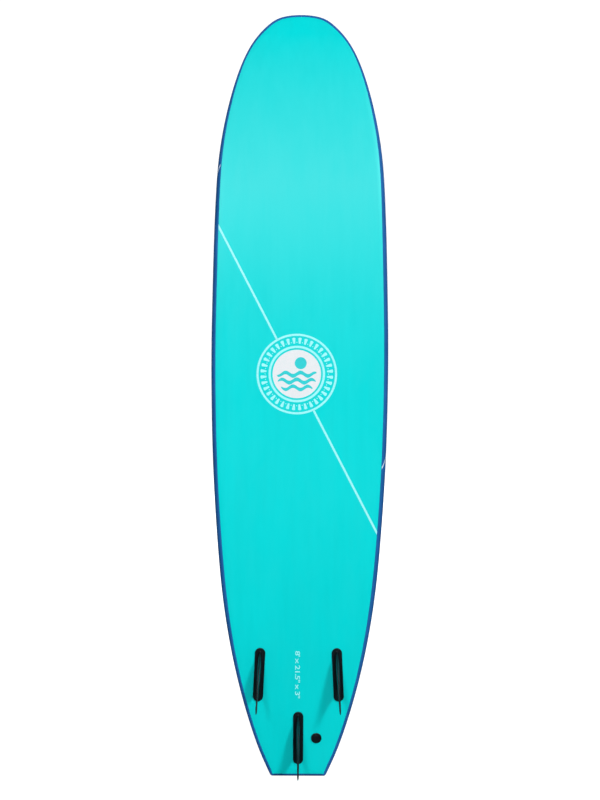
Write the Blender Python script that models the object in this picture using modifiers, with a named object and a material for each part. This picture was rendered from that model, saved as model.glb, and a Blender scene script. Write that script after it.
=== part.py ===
"""Soft-top longboard surfboard, 8 ft x 21.65 in x 3 in, with three bolt-through fins and a leash plug.

The board stands on its tail: +Z runs from tail to nose, the slick bottom faces -Y, the deck faces +Y
and X is the width.  "Right" is +X, as seen when looking at the bottom with the nose up.
The origin is the middle of the flat end face of the tail.  Units are metres.
Every piece is its own closed body with about 0.3 mm of air to its neighbours.
"""

import math

import bmesh
import bpy
import numpy as np
from mathutils import Matrix, Vector
from mathutils.bvhtree import BVHTree

# ---------------------------------------------------------------- board shape
LENGTH = 2.438            # tail end to nose tip
TAIL_CORNER_R = 0.009     # rounding of the two tail corners
# shaper's template: distance back from the nose tip, half width there
TEMPLATE = [
    (0.0, 0.0), (0.011, 0.068), (0.038, 0.106), (0.094, 0.150), (0.167, 0.185), (0.238, 0.208),
    (0.374, 0.239), (0.506, 0.2575), (0.634, 0.265), (0.76, 0.269), (0.946, 0.273), (1.07, 0.275),
    (1.255, 0.274), (1.503, 0.266), (1.689, 0.254), (1.876, 0.236), (2.003, 0.2165), (2.13, 0.190),
    (2.259, 0.155), (2.324, 0.134), (2.39, 0.1085), (LENGTH, 0.0865)]
# height above the tail end, thickness on the centre line there
FOIL = [
    (0.0, 0.036), (0.15, 0.043), (0.4, 0.056), (0.8, 0.071), (1.25, 0.0762), (1.7, 0.071),
    (2.0, 0.060), (2.22, 0.047), (LENGTH, 0.030)]
FLAT_FROM, FLAT_TO = 1.0, 1.45          # dead flat part of the bottom
BOTTOM_Y = -0.073                       # plane of the flat part of the bottom
TAIL_ROCKER, TAIL_ROCKER_POWER = 0.055, 2
NOSE_ROCKER, NOSE_ROCKER_POWER = 0.145, 2.4

# cross section; "in" distances run inwards from the widest line
NOSE_ZONE_FROM = 1.9                    # the rail section slims down from this height to the nose
RAIL_BAND, NOSE_BAND, TAIL_BAND = 0.0155, 0.0098, 0.0045    # the slick stops this far in
EDGE_ROLL, EDGE_RISE = 0.016, 0.002     # the slick's edge rolls up by the rise over the roll
SEAM_IN, TAIL_SEAM_IN = 0.022, 0.010    # deck skin meets the rail strip this far in
APEX_SHARE = 0.42                       # height of the rail's widest line over the thickness
NOSE_HALF_FLAT, EXTRA_HALF_FLAT = 0.0015, 0.0015    # half of the upright rail face; extra off the nose
TAIL_FACE_LOW, TAIL_FACE_DROP = 0.0065, 0.0075      # end face stops: above bottom, below deck
CROWN_POWER = 3.6                       # higher makes the deck flatter across
TAIL_DECK_R = 0.008                     # rounding of the deck into the end face
SEAM_SPACING_POWER = 1.7                # crowds the upper rail points towards the rail

# how the rail section turns into the squared end section
TAIL_BLEND_FROM = 0.04                  # height where the change begins
CORNER_SHARE = 0.35                     # share of the end section where the tail corner begins
CORNER_FAN_REACH = 0.09                 # run along the side over which inward directions fan out

# rays from the outline to the centre line fan out in these end zones
NOSE_FAN, NOSE_FAN_SQUEEZE = 0.6, 0.4
TAIL_FAN, TAIL_FAN_SQUEEZE = 0.30, 0.45

# skins and core
SLICK_T, FOAM_T = 0.002, 0.005          # skin thicknesses
GAP = 0.0003
STRINGER_X, STRINGER_T = 0.085, 0.004

# ---------------------------------------------------------------- mesh resolution
SIDE_STATIONS = 22                      # steps along the side, then round the corner, then the end
CORNER_STEPS = 2
END_STEPS = 2
LOW_POINTS = 4                          # slick edge to the lower end of the rail face
HIGH_STEPS = 3                          # upper end of the rail face to the deck seam
DECK_STEPS = 3                          # deck seam to the centre line
# rows and columns of the hull grid where pieces meet
CORNER_END_ROW = SIDE_STATIONS + CORNER_STEPS
SLICK_SEAM = 3
DECK_SEAM = SLICK_SEAM + LOW_POINTS + HIGH_STEPS
LAST_COL = DECK_SEAM + DECK_STEPS
SHARP_ANGLE = math.radians(35)


# ---------------------------------------------------------------- shape rules
def natural_spline(points):
    """Natural cubic spline through the points, as a function that also gives its slope."""
    knots, values = (np.array(column, float) for column in zip(*points))
    count, steps = len(knots), np.diff(knots)
    system, right_side = np.eye(count), np.zeros(count)
    for i in range(1, count - 1):
        before, after = steps[i - 1], steps[i]
        system[i, i - 1:i + 2] = before, 2 * (before + after), after
        right_side[i] = 6 * ((values[i + 1] - values[i]) / after
                             - (values[i] - values[i - 1]) / before)
    bends = np.linalg.solve(system, right_side)     # second derivative at each knot

    def value(x, slope=False):
        i = int(np.clip(np.searchsorted(knots, x) - 1, 0, count - 2))
        to_next, from_last, step = knots[i + 1] - x, x - knots[i], steps[i]
        bend, next_bend = bends[i], bends[i + 1]
        if slope:
            return ((-bend * to_next * to_next + next_bend * from_last * from_last) / (2 * step)
                    + (values[i + 1] - values[i]) / step - (next_bend - bend) * step / 6)
        return ((bend * to_next ** 3 + next_bend * from_last ** 3) / (6 * step)
                + (values[i] / step - bend * step / 6) * to_next
                + (values[i + 1] / step - next_bend * step / 6) * from_last)

    return value


# the template is splined over the root of the distance, which makes the nose tip round
width_at_root = natural_spline([(math.sqrt(back), width) for back, width in TEMPLATE])
thickness = natural_spline(FOIL)


def smooth(share):
    share = min(max(share, 0.0), 1.0)
    return share * share * (3 - 2 * share)


def mix(start, end, share):
    return start * (1 - share) + end * share


def rocker(z):
    """Y of the bottom's centre line."""
    rise = 0.0
    if z < FLAT_FROM:
        rise = TAIL_ROCKER * ((FLAT_FROM - z) / FLAT_FROM) ** TAIL_ROCKER_POWER
    elif z > FLAT_TO:
        rise = NOSE_ROCKER * ((z - FLAT_TO) / (LENGTH - FLAT_TO)) ** NOSE_ROCKER_POWER
    return BOTTOM_Y + rise


def run_along(points):
    """Distance travelled along (x, z) points, from 0 at the first."""
    return np.concatenate([[0], np.cumsum(np.hypot(*np.diff(points, axis=0).T))])


def outline():
    """Half outline from the nose tip round to the middle of the tail.

    Each row is x, z, inward x, inward z and the share of the squared end section.
    """
    root = math.sqrt(LENGTH)
    lean = math.atan(-width_at_root(root, True) / (2 * root))    # of the side at the tail
    corner_top = TAIL_CORNER_R * (1 - math.sin(lean))
    corner_x = width_at_root(math.sqrt(LENGTH - corner_top)) - TAIL_CORNER_R * math.cos(lean)

    rows = []
    for i in range(SIDE_STATIONS + 1):
        back = (LENGTH - corner_top) * (1 - math.cos(math.pi * i / SIDE_STATIONS)) / 2
        root = math.sqrt(back)
        in_x, in_z = -2 * root, -width_at_root(root, True)
        size = math.hypot(in_x, in_z)
        z = LENGTH - back
        blend = smooth((TAIL_BLEND_FROM - z) / (TAIL_BLEND_FROM - corner_top))
        rows.append((width_at_root(root), z, in_x / size, in_z / size, blend * CORNER_SHARE))
    for j in range(1, CORNER_STEPS + 1):
        share = j / CORNER_STEPS
        angle = -lean - share * (math.pi / 2 - lean)
        rows.append((corner_x + TAIL_CORNER_R * math.cos(angle),
                     TAIL_CORNER_R * (1 + math.sin(angle)),
                     -math.cos(angle), -math.sin(angle),
                     CORNER_SHARE + (1 - CORNER_SHARE) * smooth(share)))
    for j in range(1, END_STEPS + 1):
        rows.append((corner_x * (1 - j / END_STEPS), 0.0, 0.0, 1.0, 1.0))
    return fan_inward(rows, lean)


def fan_inward(rows, lean):
    """Turns the inward directions slowly round the tight tail corner, so deeper lines don't cross."""
    middle = SIDE_STATIONS + CORNER_STEPS / 2
    bisector = math.pi / 2 + (math.pi / 2 - lean) / 2
    run = run_along([row[:2] for row in rows])
    run_middle = float(np.interp(middle, range(len(rows)), run))
    fanned = []
    for i, (x, z, in_x, in_z, end_share) in enumerate(rows):
        reach = CORNER_FAN_REACH if i <= middle else run[-1] - run_middle
        nearness = max(0.0, 1 - abs(run[i] - run_middle) / reach)
        square_on = math.atan2(in_z, in_x)
        angle = square_on + (bisector - square_on) * nearness
        stretch = 1 / math.cos(angle - square_on)
        fanned.append((x, z, math.cos(angle) * stretch, math.sin(angle) * stretch, end_share))
    return fanned


def spine_heights(rows):
    """Where each outline point's ray meets the centre line: level, fanning out at both ends."""
    points = np.array([row[:2] for row in rows])
    run = run_along(points)
    heights = points[:, 1]
    nose_end = max(i for i, z in enumerate(heights) if z >= LENGTH - NOSE_FAN)
    tail_start = min(i for i, z in enumerate(heights) if z <= TAIL_FAN)
    spine = heights.copy()
    for i in range(len(heights)):
        if i <= nose_end:
            past, full = run[nose_end] - run[i], run[nose_end]
            spine[i] = heights[nose_end] + past - NOSE_FAN_SQUEEZE * past * past / full
        elif i >= tail_start:
            past, full = run[i] - run[tail_start], run[-1] - run[tail_start]
            spine[i] = heights[tail_start] - past + TAIL_FAN_SQUEEZE * past * past / full
    return spine


def section(x, z, in_x, in_z, end_share, spine_z):
    """Points from the bottom's centre line out to the rail, round it and over to the deck's centre."""
    nose_share = smooth((z - NOSE_ZONE_FROM) / (LENGTH - NOSE_ZONE_FROM))
    band = mix(mix(RAIL_BAND, NOSE_BAND, nose_share), TAIL_BAND, end_share)
    seam = mix(SEAM_IN, TAIL_SEAM_IN, end_share)
    rail_t, spine_t = thickness(z), thickness(spine_z)
    apex = APEX_SHARE * rail_t
    half_flat = NOSE_HALF_FLAT + EXTRA_HALF_FLAT * (1 - nose_share)
    face_low = mix(apex - half_flat, TAIL_FACE_LOW, end_share)
    face_high = mix(apex + half_flat, rail_t - TAIL_FACE_DROP, end_share)

    def plan(inset):
        return x + in_x * inset, z + in_z * inset

    seam_x, seam_z = plan(seam)
    reach = seam + math.hypot(seam_x, seam_z - spine_z)

    def deck_height(run):
        to_spine = max(0.0, 1 - run / reach)
        crown = math.sqrt(max(0.0, 1 - to_spine ** CROWN_POWER))
        rounding = math.sqrt(1 - (1 - min(run / TAIL_DECK_R, 1.0)) ** 2)
        rise = spine_t - face_high
        return mix(face_high + rise * crown, face_high + rise * rounding, end_share)

    def at(plan_x, plan_z, height):
        return plan_x, rocker(plan_z) + height, plan_z

    roll_x, roll_z = plan(band + EDGE_ROLL)
    points = [at(0.0, spine_z, 0.0),
              at(roll_x * 0.5, (roll_z + spine_z) / 2, 0.0),
              at(roll_x, roll_z, 0.0)]
    for k in range(LOW_POINTS):
        angle = math.pi / 2 * k / (LOW_POINTS - 1)
        height = EDGE_RISE + (face_low - EDGE_RISE) * (1 - math.cos(angle))
        points.append(at(*plan(band * (1 - math.sin(angle))), height))
    points.append(at(x, z, face_high))
    for k in range(1, HIGH_STEPS + 1):
        inset = seam * (k / HIGH_STEPS) ** SEAM_SPACING_POWER
        points.append(at(*plan(inset), deck_height(inset)))
    for k in range(1, DECK_STEPS + 1):
        share = k / DECK_STEPS
        points.append(at(seam_x * (1 - share), mix(seam_z, spine_z, share),
                         deck_height(seam + (reach - seam) * share)))
    return points


def inward_normals(grid):
    """Unit normals into the board, taken as if the mirrored half were there too."""
    flip = np.array([-1.0, 1.0, 1.0])
    tall = np.concatenate([(grid[1] * flip)[None], grid, (grid[-2] * flip)[None]])
    wide = np.concatenate([(grid[:, 1] * flip)[:, None], grid, (grid[:, -2] * flip)[:, None]],
                          axis=1)
    normals = np.cross(tall[2:] - tall[:-2], wide[:, 2:] - wide[:, :-2])
    normals /= np.maximum(np.linalg.norm(normals, axis=2, keepdims=True), 1e-12)
    for i, k in ((0, 0), (0, -1), (-1, 0), (-1, -1)):    # spine ends lean like their neighbours
        next_col, next_row = 1 if k == 0 else -2, 1 if i == 0 else -2
        normals[i, k] = normals[i, next_col] + normals[next_row, k]
    flatten_centre(normals)
    normals[:, 0, 0] = normals[:, -1, 0] = 0.0
    normals /= np.linalg.norm(normals, axis=2, keepdims=True)
    if normals[len(grid) // 2, 0, 1] < 0:                # at the bottom, inward is towards the deck
        normals = -normals
    return normals


def flatten_centre(grid):
    """Puts the first and last rows, nose tip and tail middle, exactly in the centre plane."""
    grid[0, :, 0] = grid[-1, :, 0] = 0.0


OUTLINE = outline()
HULL = np.array([section(*row, spine_z) for row, spine_z in zip(OUTLINE, spine_heights(OUTLINE))])
INWARD = inward_normals(HULL)

# ---------------------------------------------------------------- scene helpers
for old in list(bpy.data.objects):
    bpy.data.objects.remove(old, do_unlink=True)

PARTS = bpy.data.collections.new("surfboard")
CUTTERS = bpy.data.collections.new("cutters")       # helpers that are cut out of or joined to parts
for collection in (PARTS, CUTTERS):
    bpy.context.scene.collection.children.link(collection)


def material(name, colour, roughness, metallic=0.0):
    made = bpy.data.materials.new(name)
    made.use_nodes = True
    shader = made.node_tree.nodes["Principled BSDF"]
    shader.inputs["Base Color"].default_value = (*colour, 1.0)
    shader.inputs["Roughness"].default_value = roughness
    shader.inputs["Metallic"].default_value = metallic
    made.diffuse_color = (*colour, 1.0)
    return made


TEAL = material("slick_teal", colour=(0.01, 0.70, 0.74), roughness=0.35)
DECK_BLUE = material("deck_foam_blue", colour=(0.02, 0.11, 0.42), roughness=0.8)
RAIL_BLUE = material("rail_foam_blue", colour=(0.02, 0.10, 0.38), roughness=0.8)
WHITE_FOAM = material("core_foam_white", colour=(0.9, 0.9, 0.88), roughness=0.9)
PLY = material("stringer_ply", colour=(0.62, 0.45, 0.27), roughness=0.6)
BLACK = material("moulded_black", colour=(0.012, 0.015, 0.018), roughness=0.4)
RUBBER = material("seal_rubber", colour=(0.02, 0.02, 0.02), roughness=0.8)
BRASS = material("brass", colour=(0.78, 0.57, 0.28), roughness=0.3, metallic=1.0)
STEEL = material("stainless_steel", colour=(0.62, 0.63, 0.64), roughness=0.25, metallic=1.0)


def add_object(name, mesh, surface, matrix=None, group=PARTS):
    thing = bpy.data.objects.new(name, mesh)
    group.objects.link(thing)
    if surface:
        mesh.materials.append(surface)
    if matrix is not None:
        thing.matrix_world = matrix
    if group is CUTTERS:
        thing.hide_render = True
        thing.display_type = "WIRE"
    return thing


def mesh_from(name, bm):
    bmesh.ops.recalc_face_normals(bm, faces=bm.faces[:])
    mesh = bpy.data.meshes.new(name)
    bm.to_mesh(mesh)
    bm.free()
    mesh.shade_smooth()
    mesh.set_sharp_from_angle(angle=SHARP_ANGLE)
    return mesh


def add_mirror(thing):
    mirror = thing.modifiers.new("mirror", "MIRROR")
    mirror.use_axis = (True, False, False)
    mirror.use_mirror_merge = True
    mirror.merge_threshold = 0.0001


def boolean(thing, other, operation="DIFFERENCE"):
    modifier = thing.modifiers.new(other.name, "BOOLEAN")
    modifier.operation = operation
    modifier.object = other
    modifier.solver = "EXACT"


def lathe(name, profile, surface, matrix, group=PARTS, steps=16):
    """A turned piece about its own Z axis from (radius, height) points.

    A closed outline off the axis makes a ring; one that starts and ends at radius 0 makes a solid.
    """
    turn = sum(a[0] * b[1] - b[0] * a[1] for a, b in zip(profile, profile[1:] + profile[:1]))
    if turn > 0:                                         # the outer side has to run downwards
        profile = profile[::-1]
    points = [(radius, 0.0, height) for radius, height in profile]
    edges = [(i, i + 1) for i in range(len(points) - 1)]
    if profile[0][0] > 0:
        edges.append((len(points) - 1, 0))
    mesh = bpy.data.meshes.new(name)
    mesh.from_pydata(points, edges, [])
    piece = add_object(name, mesh, surface, matrix, group)
    screw = piece.modifiers.new("turn", "SCREW")
    screw.axis = "Z"
    screw.angle = 2 * math.pi
    screw.steps = screw.render_steps = steps
    screw.use_merge_vertices = True
    screw.merge_threshold = 0.00001
    screw.use_smooth_shade = False
    return piece


def lifted(profile, height):
    return [(radius, height + level) for radius, level in profile]


# ---------------------------------------------------------------- skins and rails
def add_grid_faces(bm, verts, turn=1):
    """Two triangles per grid quad, on the diagonal that leaves none lying in the centre plane."""
    for i in range(len(verts) - 1):
        for k in range(len(verts[0]) - 1):
            a, b, c, d = verts[i][k], verts[i + 1][k], verts[i + 1][k + 1], verts[i][k + 1]
            triangles = (a, b, c), (a, c, d)
            if any(max(abs(v.co.x) for v in triangle) < 1e-6 for triangle in triangles):
                triangles = (a, b, d), (b, c, d)
            for triangle in triangles:
                # each quad's faces keep their order; turn only reverses the winding
                yield_face(bm, triangle[::turn])


def yield_face(bm, corners):
    bm.faces.new(corners)


def shell_mesh(name, outer, inner, closed):
    """Loft between an outer and an inner grid of points, with the named rims closed.

    Neighbouring shells share the way their rims are split.
    """
    bm = bmesh.new()
    rows, cols = outer.shape[:2]
    outer_verts = [[bm.verts.new(point) for point in row] for row in outer]
    inner_verts = [[bm.verts.new(point) for point in row] for row in inner]
    add_grid_faces(bm, outer_verts)
    add_grid_faces(bm, inner_verts, turn=-1)
    rims = {"first_row": [(0, k) for k in range(cols)],
            "last_row": [(rows - 1, k) for k in range(cols)],
            "first_col": [(i, 0) for i in range(rows)],
            "last_col": [(i, cols - 1) for i in range(rows)]}
    for rim in closed:
        for (i, k), (next_i, next_k) in zip(rims[rim], rims[rim][1:]):
            start, far = outer_verts[i][k], inner_verts[next_i][next_k]
            bm.faces.new((start, outer_verts[next_i][next_k], far))
            bm.faces.new((start, far, inner_verts[i][k]))
    return mesh_from(name, bm)


def pull(points, towards, distance):
    """Moves points a distance towards others."""
    step = towards - points
    return points + step / np.linalg.norm(step, axis=-1, keepdims=True) * distance


def panel(rows, first_col, last_col):
    """A copy of part of the hull, drawn back by half a gap at its seams, and its normals."""
    part = HULL[rows, first_col:last_col + 1].copy()
    if first_col > 0:
        part[:, 0] = pull(part[:, 0], HULL[rows, first_col + 1], GAP / 2)
    if last_col < LAST_COL:
        part[:, -1] = pull(part[:, -1], HULL[rows, last_col - 1], GAP / 2)
    return part, INWARD[rows, first_col:last_col + 1]


def add_skin(name, first_col, last_col, depth, closed, surface):
    """One sheet from nose to tail, mirrored about the centre line."""
    outer, inward = panel(slice(None), first_col, last_col)
    flatten_centre(outer)
    skin = add_object(name, shell_mesh(name, outer, outer + inward * depth, closed), surface)
    add_mirror(skin)
    return skin


def add_rails():
    """Rail strips from the nose tip to the end of the tail corner, one on each side."""
    outer, inward = panel(slice(0, CORNER_END_ROW + 1), SLICK_SEAM, DECK_SEAM)
    outer[0, :, 0] = GAP / 2
    outer[-1, :, 0] += GAP / 2
    inner = outer + inward * FOAM_T
    for name, side in (("rail_right", 1.0), ("rail_left", -1.0)):
        flip = np.array([side, 1.0, 1.0])
        mesh = shell_mesh(name, outer * flip, inner * flip,
                          ("first_row", "last_row", "first_col", "last_col"))
        add_object(name, mesh, RAIL_BLUE)


def add_tail_strip():
    """Closes the squared end between the two rails."""
    outer, inward = panel(slice(CORNER_END_ROW, None), SLICK_SEAM, DECK_SEAM)
    outer[0, :, 0] -= GAP / 2
    outer[-1, :, 0] = 0.0
    mesh = shell_mesh("tail_strip", outer, outer + inward * FOAM_T,
                      ("first_row", "first_col", "last_col"))
    add_mirror(add_object("tail_strip", mesh, RAIL_BLUE))


slick = add_skin("bottom_slick", 0, SLICK_SEAM, SLICK_T, ("last_col",), TEAL)
deck = add_skin("deck_skin", DECK_SEAM, LAST_COL, FOAM_T, ("first_col",), DECK_BLUE)
add_rails()
add_tail_strip()


# ---------------------------------------------------------------- core and stringers
def core_points():
    """The hull grid moved in to just clear the skins."""
    depth = np.full(HULL.shape[1], FOAM_T + 2 * GAP)
    depth[:SLICK_SEAM] = SLICK_T + 1.5 * GAP
    depth[SLICK_SEAM] = FOAM_T + 3 * GAP
    inside = HULL + INWARD * depth[None, :, None]
    flatten_centre(inside)
    inside[:, 0, 0] = inside[:, -1, 0] = 0.0
    return inside


def core_blank():
    """The whole inside of the board, both halves."""
    bm = bmesh.new()
    inside = core_points()
    for side in (1.0, -1.0):
        add_grid_faces(bm, [[bm.verts.new((x * side, y, z)) for x, y, z in row] for row in inside])
    bmesh.ops.remove_doubles(bm, verts=bm.verts[:], dist=0.00001)
    bmesh.ops.recalc_face_normals(bm, faces=bm.faces[:])
    return bm


def slab(name, x_min, x_max, surface):
    """The part of the blank between two planes across X; None leaves that side uncut."""
    bm = core_blank()
    for cut_x, outward in ((x_min, -1.0), (x_max, 1.0)):
        if cut_x is None:
            continue
        cut = bmesh.ops.bisect_plane(
            bm, geom=bm.verts[:] + bm.edges[:] + bm.faces[:], dist=1e-7,
            plane_co=(cut_x, 0, 0), plane_no=(outward, 0, 0), clear_outer=True)
        edges = [item for item in cut["geom_cut"] if isinstance(item, bmesh.types.BMEdge)]
        cap = bmesh.ops.contextual_create(bm, geom=edges)
        bmesh.ops.triangulate(bm, faces=cap["faces"])
    return add_object(name, mesh_from(name, bm), surface)


NEAR_FACE = STRINGER_X - STRINGER_T / 2      # stringer faces, distance from the centre plane
FAR_FACE = STRINGER_X + STRINGER_T / 2
CORES = {}
CORES["left"] = slab("core_left", None, -FAR_FACE - GAP, WHITE_FOAM)
slab("stringer_left", -FAR_FACE, -NEAR_FACE, PLY)
CORES["centre"] = slab("core_centre", -NEAR_FACE + GAP, NEAR_FACE - GAP, WHITE_FOAM)
slab("stringer_right", NEAR_FACE, FAR_FACE, PLY)
CORES["right"] = slab("core_right", FAR_FACE + GAP, None, WHITE_FOAM)


# ---------------------------------------------------------------- placing fittings
def outer_deck_tree():
    """The outer deck surface, to find how thick the board is under each fitting."""
    rows, cols = HULL.shape[:2]
    quads = [(i * cols + k, (i + 1) * cols + k, (i + 1) * cols + k + 1, i * cols + k + 1)
             for i in range(rows - 1) for k in range(DECK_SEAM, cols - 1)]
    return BVHTree.FromPolygons([tuple(point) for row in HULL for point in row], quads)


DECK_TREE = outer_deck_tree()
INTO_BOARD = Matrix.Rotation(-math.pi / 2, 4, "X")      # turns a bottom frame's Z into the board


def bottom_frame(x, z, toe=0.0):
    """Frame on the bottom surface: X across, Y into the board, Z towards the nose."""
    slope = (rocker(z + 1e-4) - rocker(z - 1e-4)) / 2e-4
    into = Vector((0, 1, -slope)).normalized()
    nose = Matrix.Rotation(toe, 3, into) @ Vector((0, slope, 1)).normalized()
    frame = Matrix([list(axis) for axis in (into.cross(nose), into, nose)]).transposed().to_4x4()
    frame.translation = Vector((x, rocker(z), z))
    return frame


def depth_to_deck(frame, along=0):
    """Distance from the bottom to the deck, at a place along the frame's Z."""
    inward = Vector((frame[0][1], frame[1][1], frame[2][1]))
    start = frame @ Vector((0, 0, along))
    start.x = abs(start.x)                              # the deck tree holds the +X half only
    return DECK_TREE.ray_cast(start, inward)[3]


def drill(hole, core):
    for target in (slick, deck, core):
        boolean(target, hole)


# ---------------------------------------------------------------- fins and their bolts
SIDE_FIN_X, SIDE_FIN_Z = 0.122, 0.3345       # centre between the posts
TOE_IN = math.radians(2.8)
CENTRE_FIN_Z = 0.1315
PLATE_L, PLATE_W, PLATE_T = 0.1695, 0.032, 0.0042
PLATE_AFT = 0.0042                           # the plate reaches further behind the posts
PLATE_SIDES = 20
PLATE_BEVEL = 0.0013

FIN_H = 0.108
BLADE_ROOT = PLATE_T * 0.6                   # the blade starts this deep, inside the plate
ROOT_LEAD, LEAD_SWEEP, LEAD_POWER = 0.070, 0.148, 1.9
ROOT_TRAIL, TRAIL_SWEEP, TRAIL_POWER = -0.058, 0.0285, 2.2
ROOT_THICK, TIP_THINNING = 0.0100, 0.52
TRAIL_HALF_T = 0.0005                        # extra half thickness at the trailing edge
BLADE_LEVELS = (0.0, 0.2, 0.4, 0.6, 0.78, 0.92, 1.0)     # shares of the height, root to tip
CHORD_SHARES = (0.0, 0.06, 0.25, 0.55, 0.82, 1.0)        # leading to trailing edge

POST_R, POST_PITCH = 0.008, 0.090
POST_FOOT = -0.0025                          # the posts start inside the plate
SEAT_DEPTH = 0.007                           # washer seat below the deck
POST_SHORT = 0.012                           # the post ends this far short of the seat
HOLE_START, HOLE_OVERRUN = -0.02, 0.05       # hole cutters run past both surfaces
POST_AIR, FITTING_AIR = 0.0005, 0.0004       # around the posts; around washers and leash cup
WASHER_R = 0.013
WASHER_SHELF = 0.0032
HEAD_UNDERSIDE = WASHER_SHELF + GAP
POCKET_R = 0.0045                            # pocket for the threaded insert

# turned profiles: (radius, height), from the post's end
POST_TIP = [(0, -0.0152), (POCKET_R, -0.0152), (POCKET_R, 0.0), (0.0072, 0.0), (POST_R, -0.001)]
INSERT = [(0.0028, -0.0147), (0.0028, -GAP), (POCKET_R - GAP, -GAP), (POCKET_R - GAP, -0.0147)]
# turned profiles: (radius, height), from the washer's seat
WASHER = [
    (0.0034, GAP), (0.0034, WASHER_SHELF), (0.0103, WASHER_SHELF), (0.0106, 0.0075),
    (0.0122, 0.0075), (WASHER_R, 0.0064), (WASHER_R, GAP)]
SCREW = [
    (0, 0.0046), (0.0026, 0.0046), (0.0026, 0.0068), (0.0088, 0.0068), (0.0098, 0.0058),
    (0.0098, HEAD_UNDERSIDE), (0.0025, HEAD_UNDERSIDE), (0.0025, -0.0238), (0.0016, -0.0248),
    (0, -0.0248)]


def plate_mesh():
    """Base plate, a stadium, in the fin's own frame: -Y away from the board."""
    bm = bmesh.new()
    half_step = Matrix.Rotation(math.radians(180 / PLATE_SIDES), 4, "Z")
    bmesh.ops.create_cone(bm, cap_ends=True, segments=PLATE_SIDES, radius1=PLATE_W / 2,
                          radius2=PLATE_W / 2, depth=PLATE_T,
                          matrix=Matrix.Rotation(math.pi / 2, 4, "X") @ half_step)
    for vert in bm.verts:
        vert.co.z += math.copysign(PLATE_L / 2 - PLATE_W / 2, vert.co.z) - PLATE_AFT
        vert.co.y -= PLATE_T / 2 + GAP
    return mesh_from("fin_plate", bm)


def foil_half_thickness(share):
    """Four-digit aerofoil half thickness at a share of the chord, per unit of full thickness."""
    return 5 * (0.2969 * math.sqrt(share) - 0.126 * share - 0.3516 * share ** 2
                + 0.2843 * share ** 3 - 0.1036 * share ** 4)


def blade_mesh():
    bm = bmesh.new()
    rings = []
    for level in BLADE_LEVELS:
        lead = ROOT_LEAD - LEAD_SWEEP * level ** LEAD_POWER
        trail = ROOT_TRAIL - TRAIL_SWEEP * level ** TRAIL_POWER
        thick = ROOT_THICK * (1 - TIP_THINNING * level)
        y = -BLADE_ROOT - (FIN_H - BLADE_ROOT) * level
        side = [(thick * foil_half_thickness(share) + TRAIL_HALF_T * share, y,
                 lead + (trail - lead) * share) for share in CHORD_SHARES]
        ring = side + [(-x, y, z) for x, y, z in reversed(side[1:])]
        rings.append([bm.verts.new(point) for point in ring])
    count = len(rings[0])
    for lower, upper in zip(rings, rings[1:]):
        for k in range(count):
            after = (k + 1) % count
            bm.faces.new((lower[k], lower[after], upper[after], upper[k]))
    bm.faces.new(rings[0])
    bm.faces.new(rings[-1])
    return mesh_from("fin_blade", bm)


def add_fin(side, frame):
    """Plate with a bevelled rim, joined to its blade."""
    fin = add_object("fin_" + side, plate_mesh(), BLACK, frame)
    bevel = fin.modifiers.new("rim", "BEVEL")
    bevel.width = PLATE_BEVEL
    bevel.segments = 1
    bevel.limit_method = "ANGLE"
    bevel.angle_limit = math.radians(60)
    blade = add_object("blade_" + side, blade_mesh(), None, frame, CUTTERS)
    boolean(fin, blade, "UNION")
    return fin


def add_bolt(fin, core, tag, frame, along):
    """Post on the fin with its insert, the washer and screw in the deck, and the hole for them."""
    seat = depth_to_deck(frame, along) - SEAT_DEPTH
    post_end = seat - POST_SHORT
    axis = frame @ Matrix.Translation((0, 0, along)) @ INTO_BOARD
    post = lathe("post_" + tag,
                 lifted(POST_TIP, post_end) + [(POST_R, POST_FOOT), (0, POST_FOOT)],
                 None, axis, CUTTERS)
    boolean(fin, post, "UNION")
    lathe("insert_" + tag, lifted(INSERT, post_end), BRASS, axis, steps=12)
    at_seat = axis @ Matrix.Translation((0, 0, seat))
    lathe("washer_" + tag, WASHER, BLACK, at_seat)
    lathe("screw_" + tag, SCREW, STEEL, at_seat, steps=12)
    post_hole, washer_hole = POST_R + POST_AIR, WASHER_R + FITTING_AIR
    hole_end = seat + HOLE_OVERRUN
    hole = lathe("hole_" + tag,
                 [(0, HOLE_START), (post_hole, HOLE_START), (post_hole, seat),
                  (washer_hole, seat), (washer_hole, hole_end), (0, hole_end)],
                 None, axis, CUTTERS)
    drill(hole, core)


for side, fin_x, fin_z, toe in (("left", -SIDE_FIN_X, SIDE_FIN_Z, TOE_IN),
                                ("right", SIDE_FIN_X, SIDE_FIN_Z, -TOE_IN),
                                ("centre", 0.0, CENTRE_FIN_Z, 0.0)):
    fin_frame = bottom_frame(fin_x, fin_z, toe)
    fin_body = add_fin(side, fin_frame)
    for end, offset in (("front", POST_PITCH / 2), ("rear", -POST_PITCH / 2)):
        add_bolt(fin_body, CORES[side], side + "_" + end, fin_frame, offset)

# ---------------------------------------------------------------- leash plug
LEASH_X, LEASH_Z = 0.0566, 0.1273
CUP_FLANGE_R, CUP_BODY_R = 0.016, 0.013
CUP_FLANGE_LOW, CUP_BODY_LOW = -0.0027, -0.018       # undersides, from the deck
TUBE_R, TUBE_BORE_R, TUBE_FOOT = 0.006, 0.004, 0.006
PIN_DEPTH = 0.0048                                   # pin's axis below the deck
STEM_R, CAP_R, CAP_TOP = 0.0036, 0.0166, -0.0016
STEM_HOLE_R, STEM_HOLE_END = 0.0045, 0.0052
LEASH_HOLE_OVERRUN = 0.03

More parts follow.
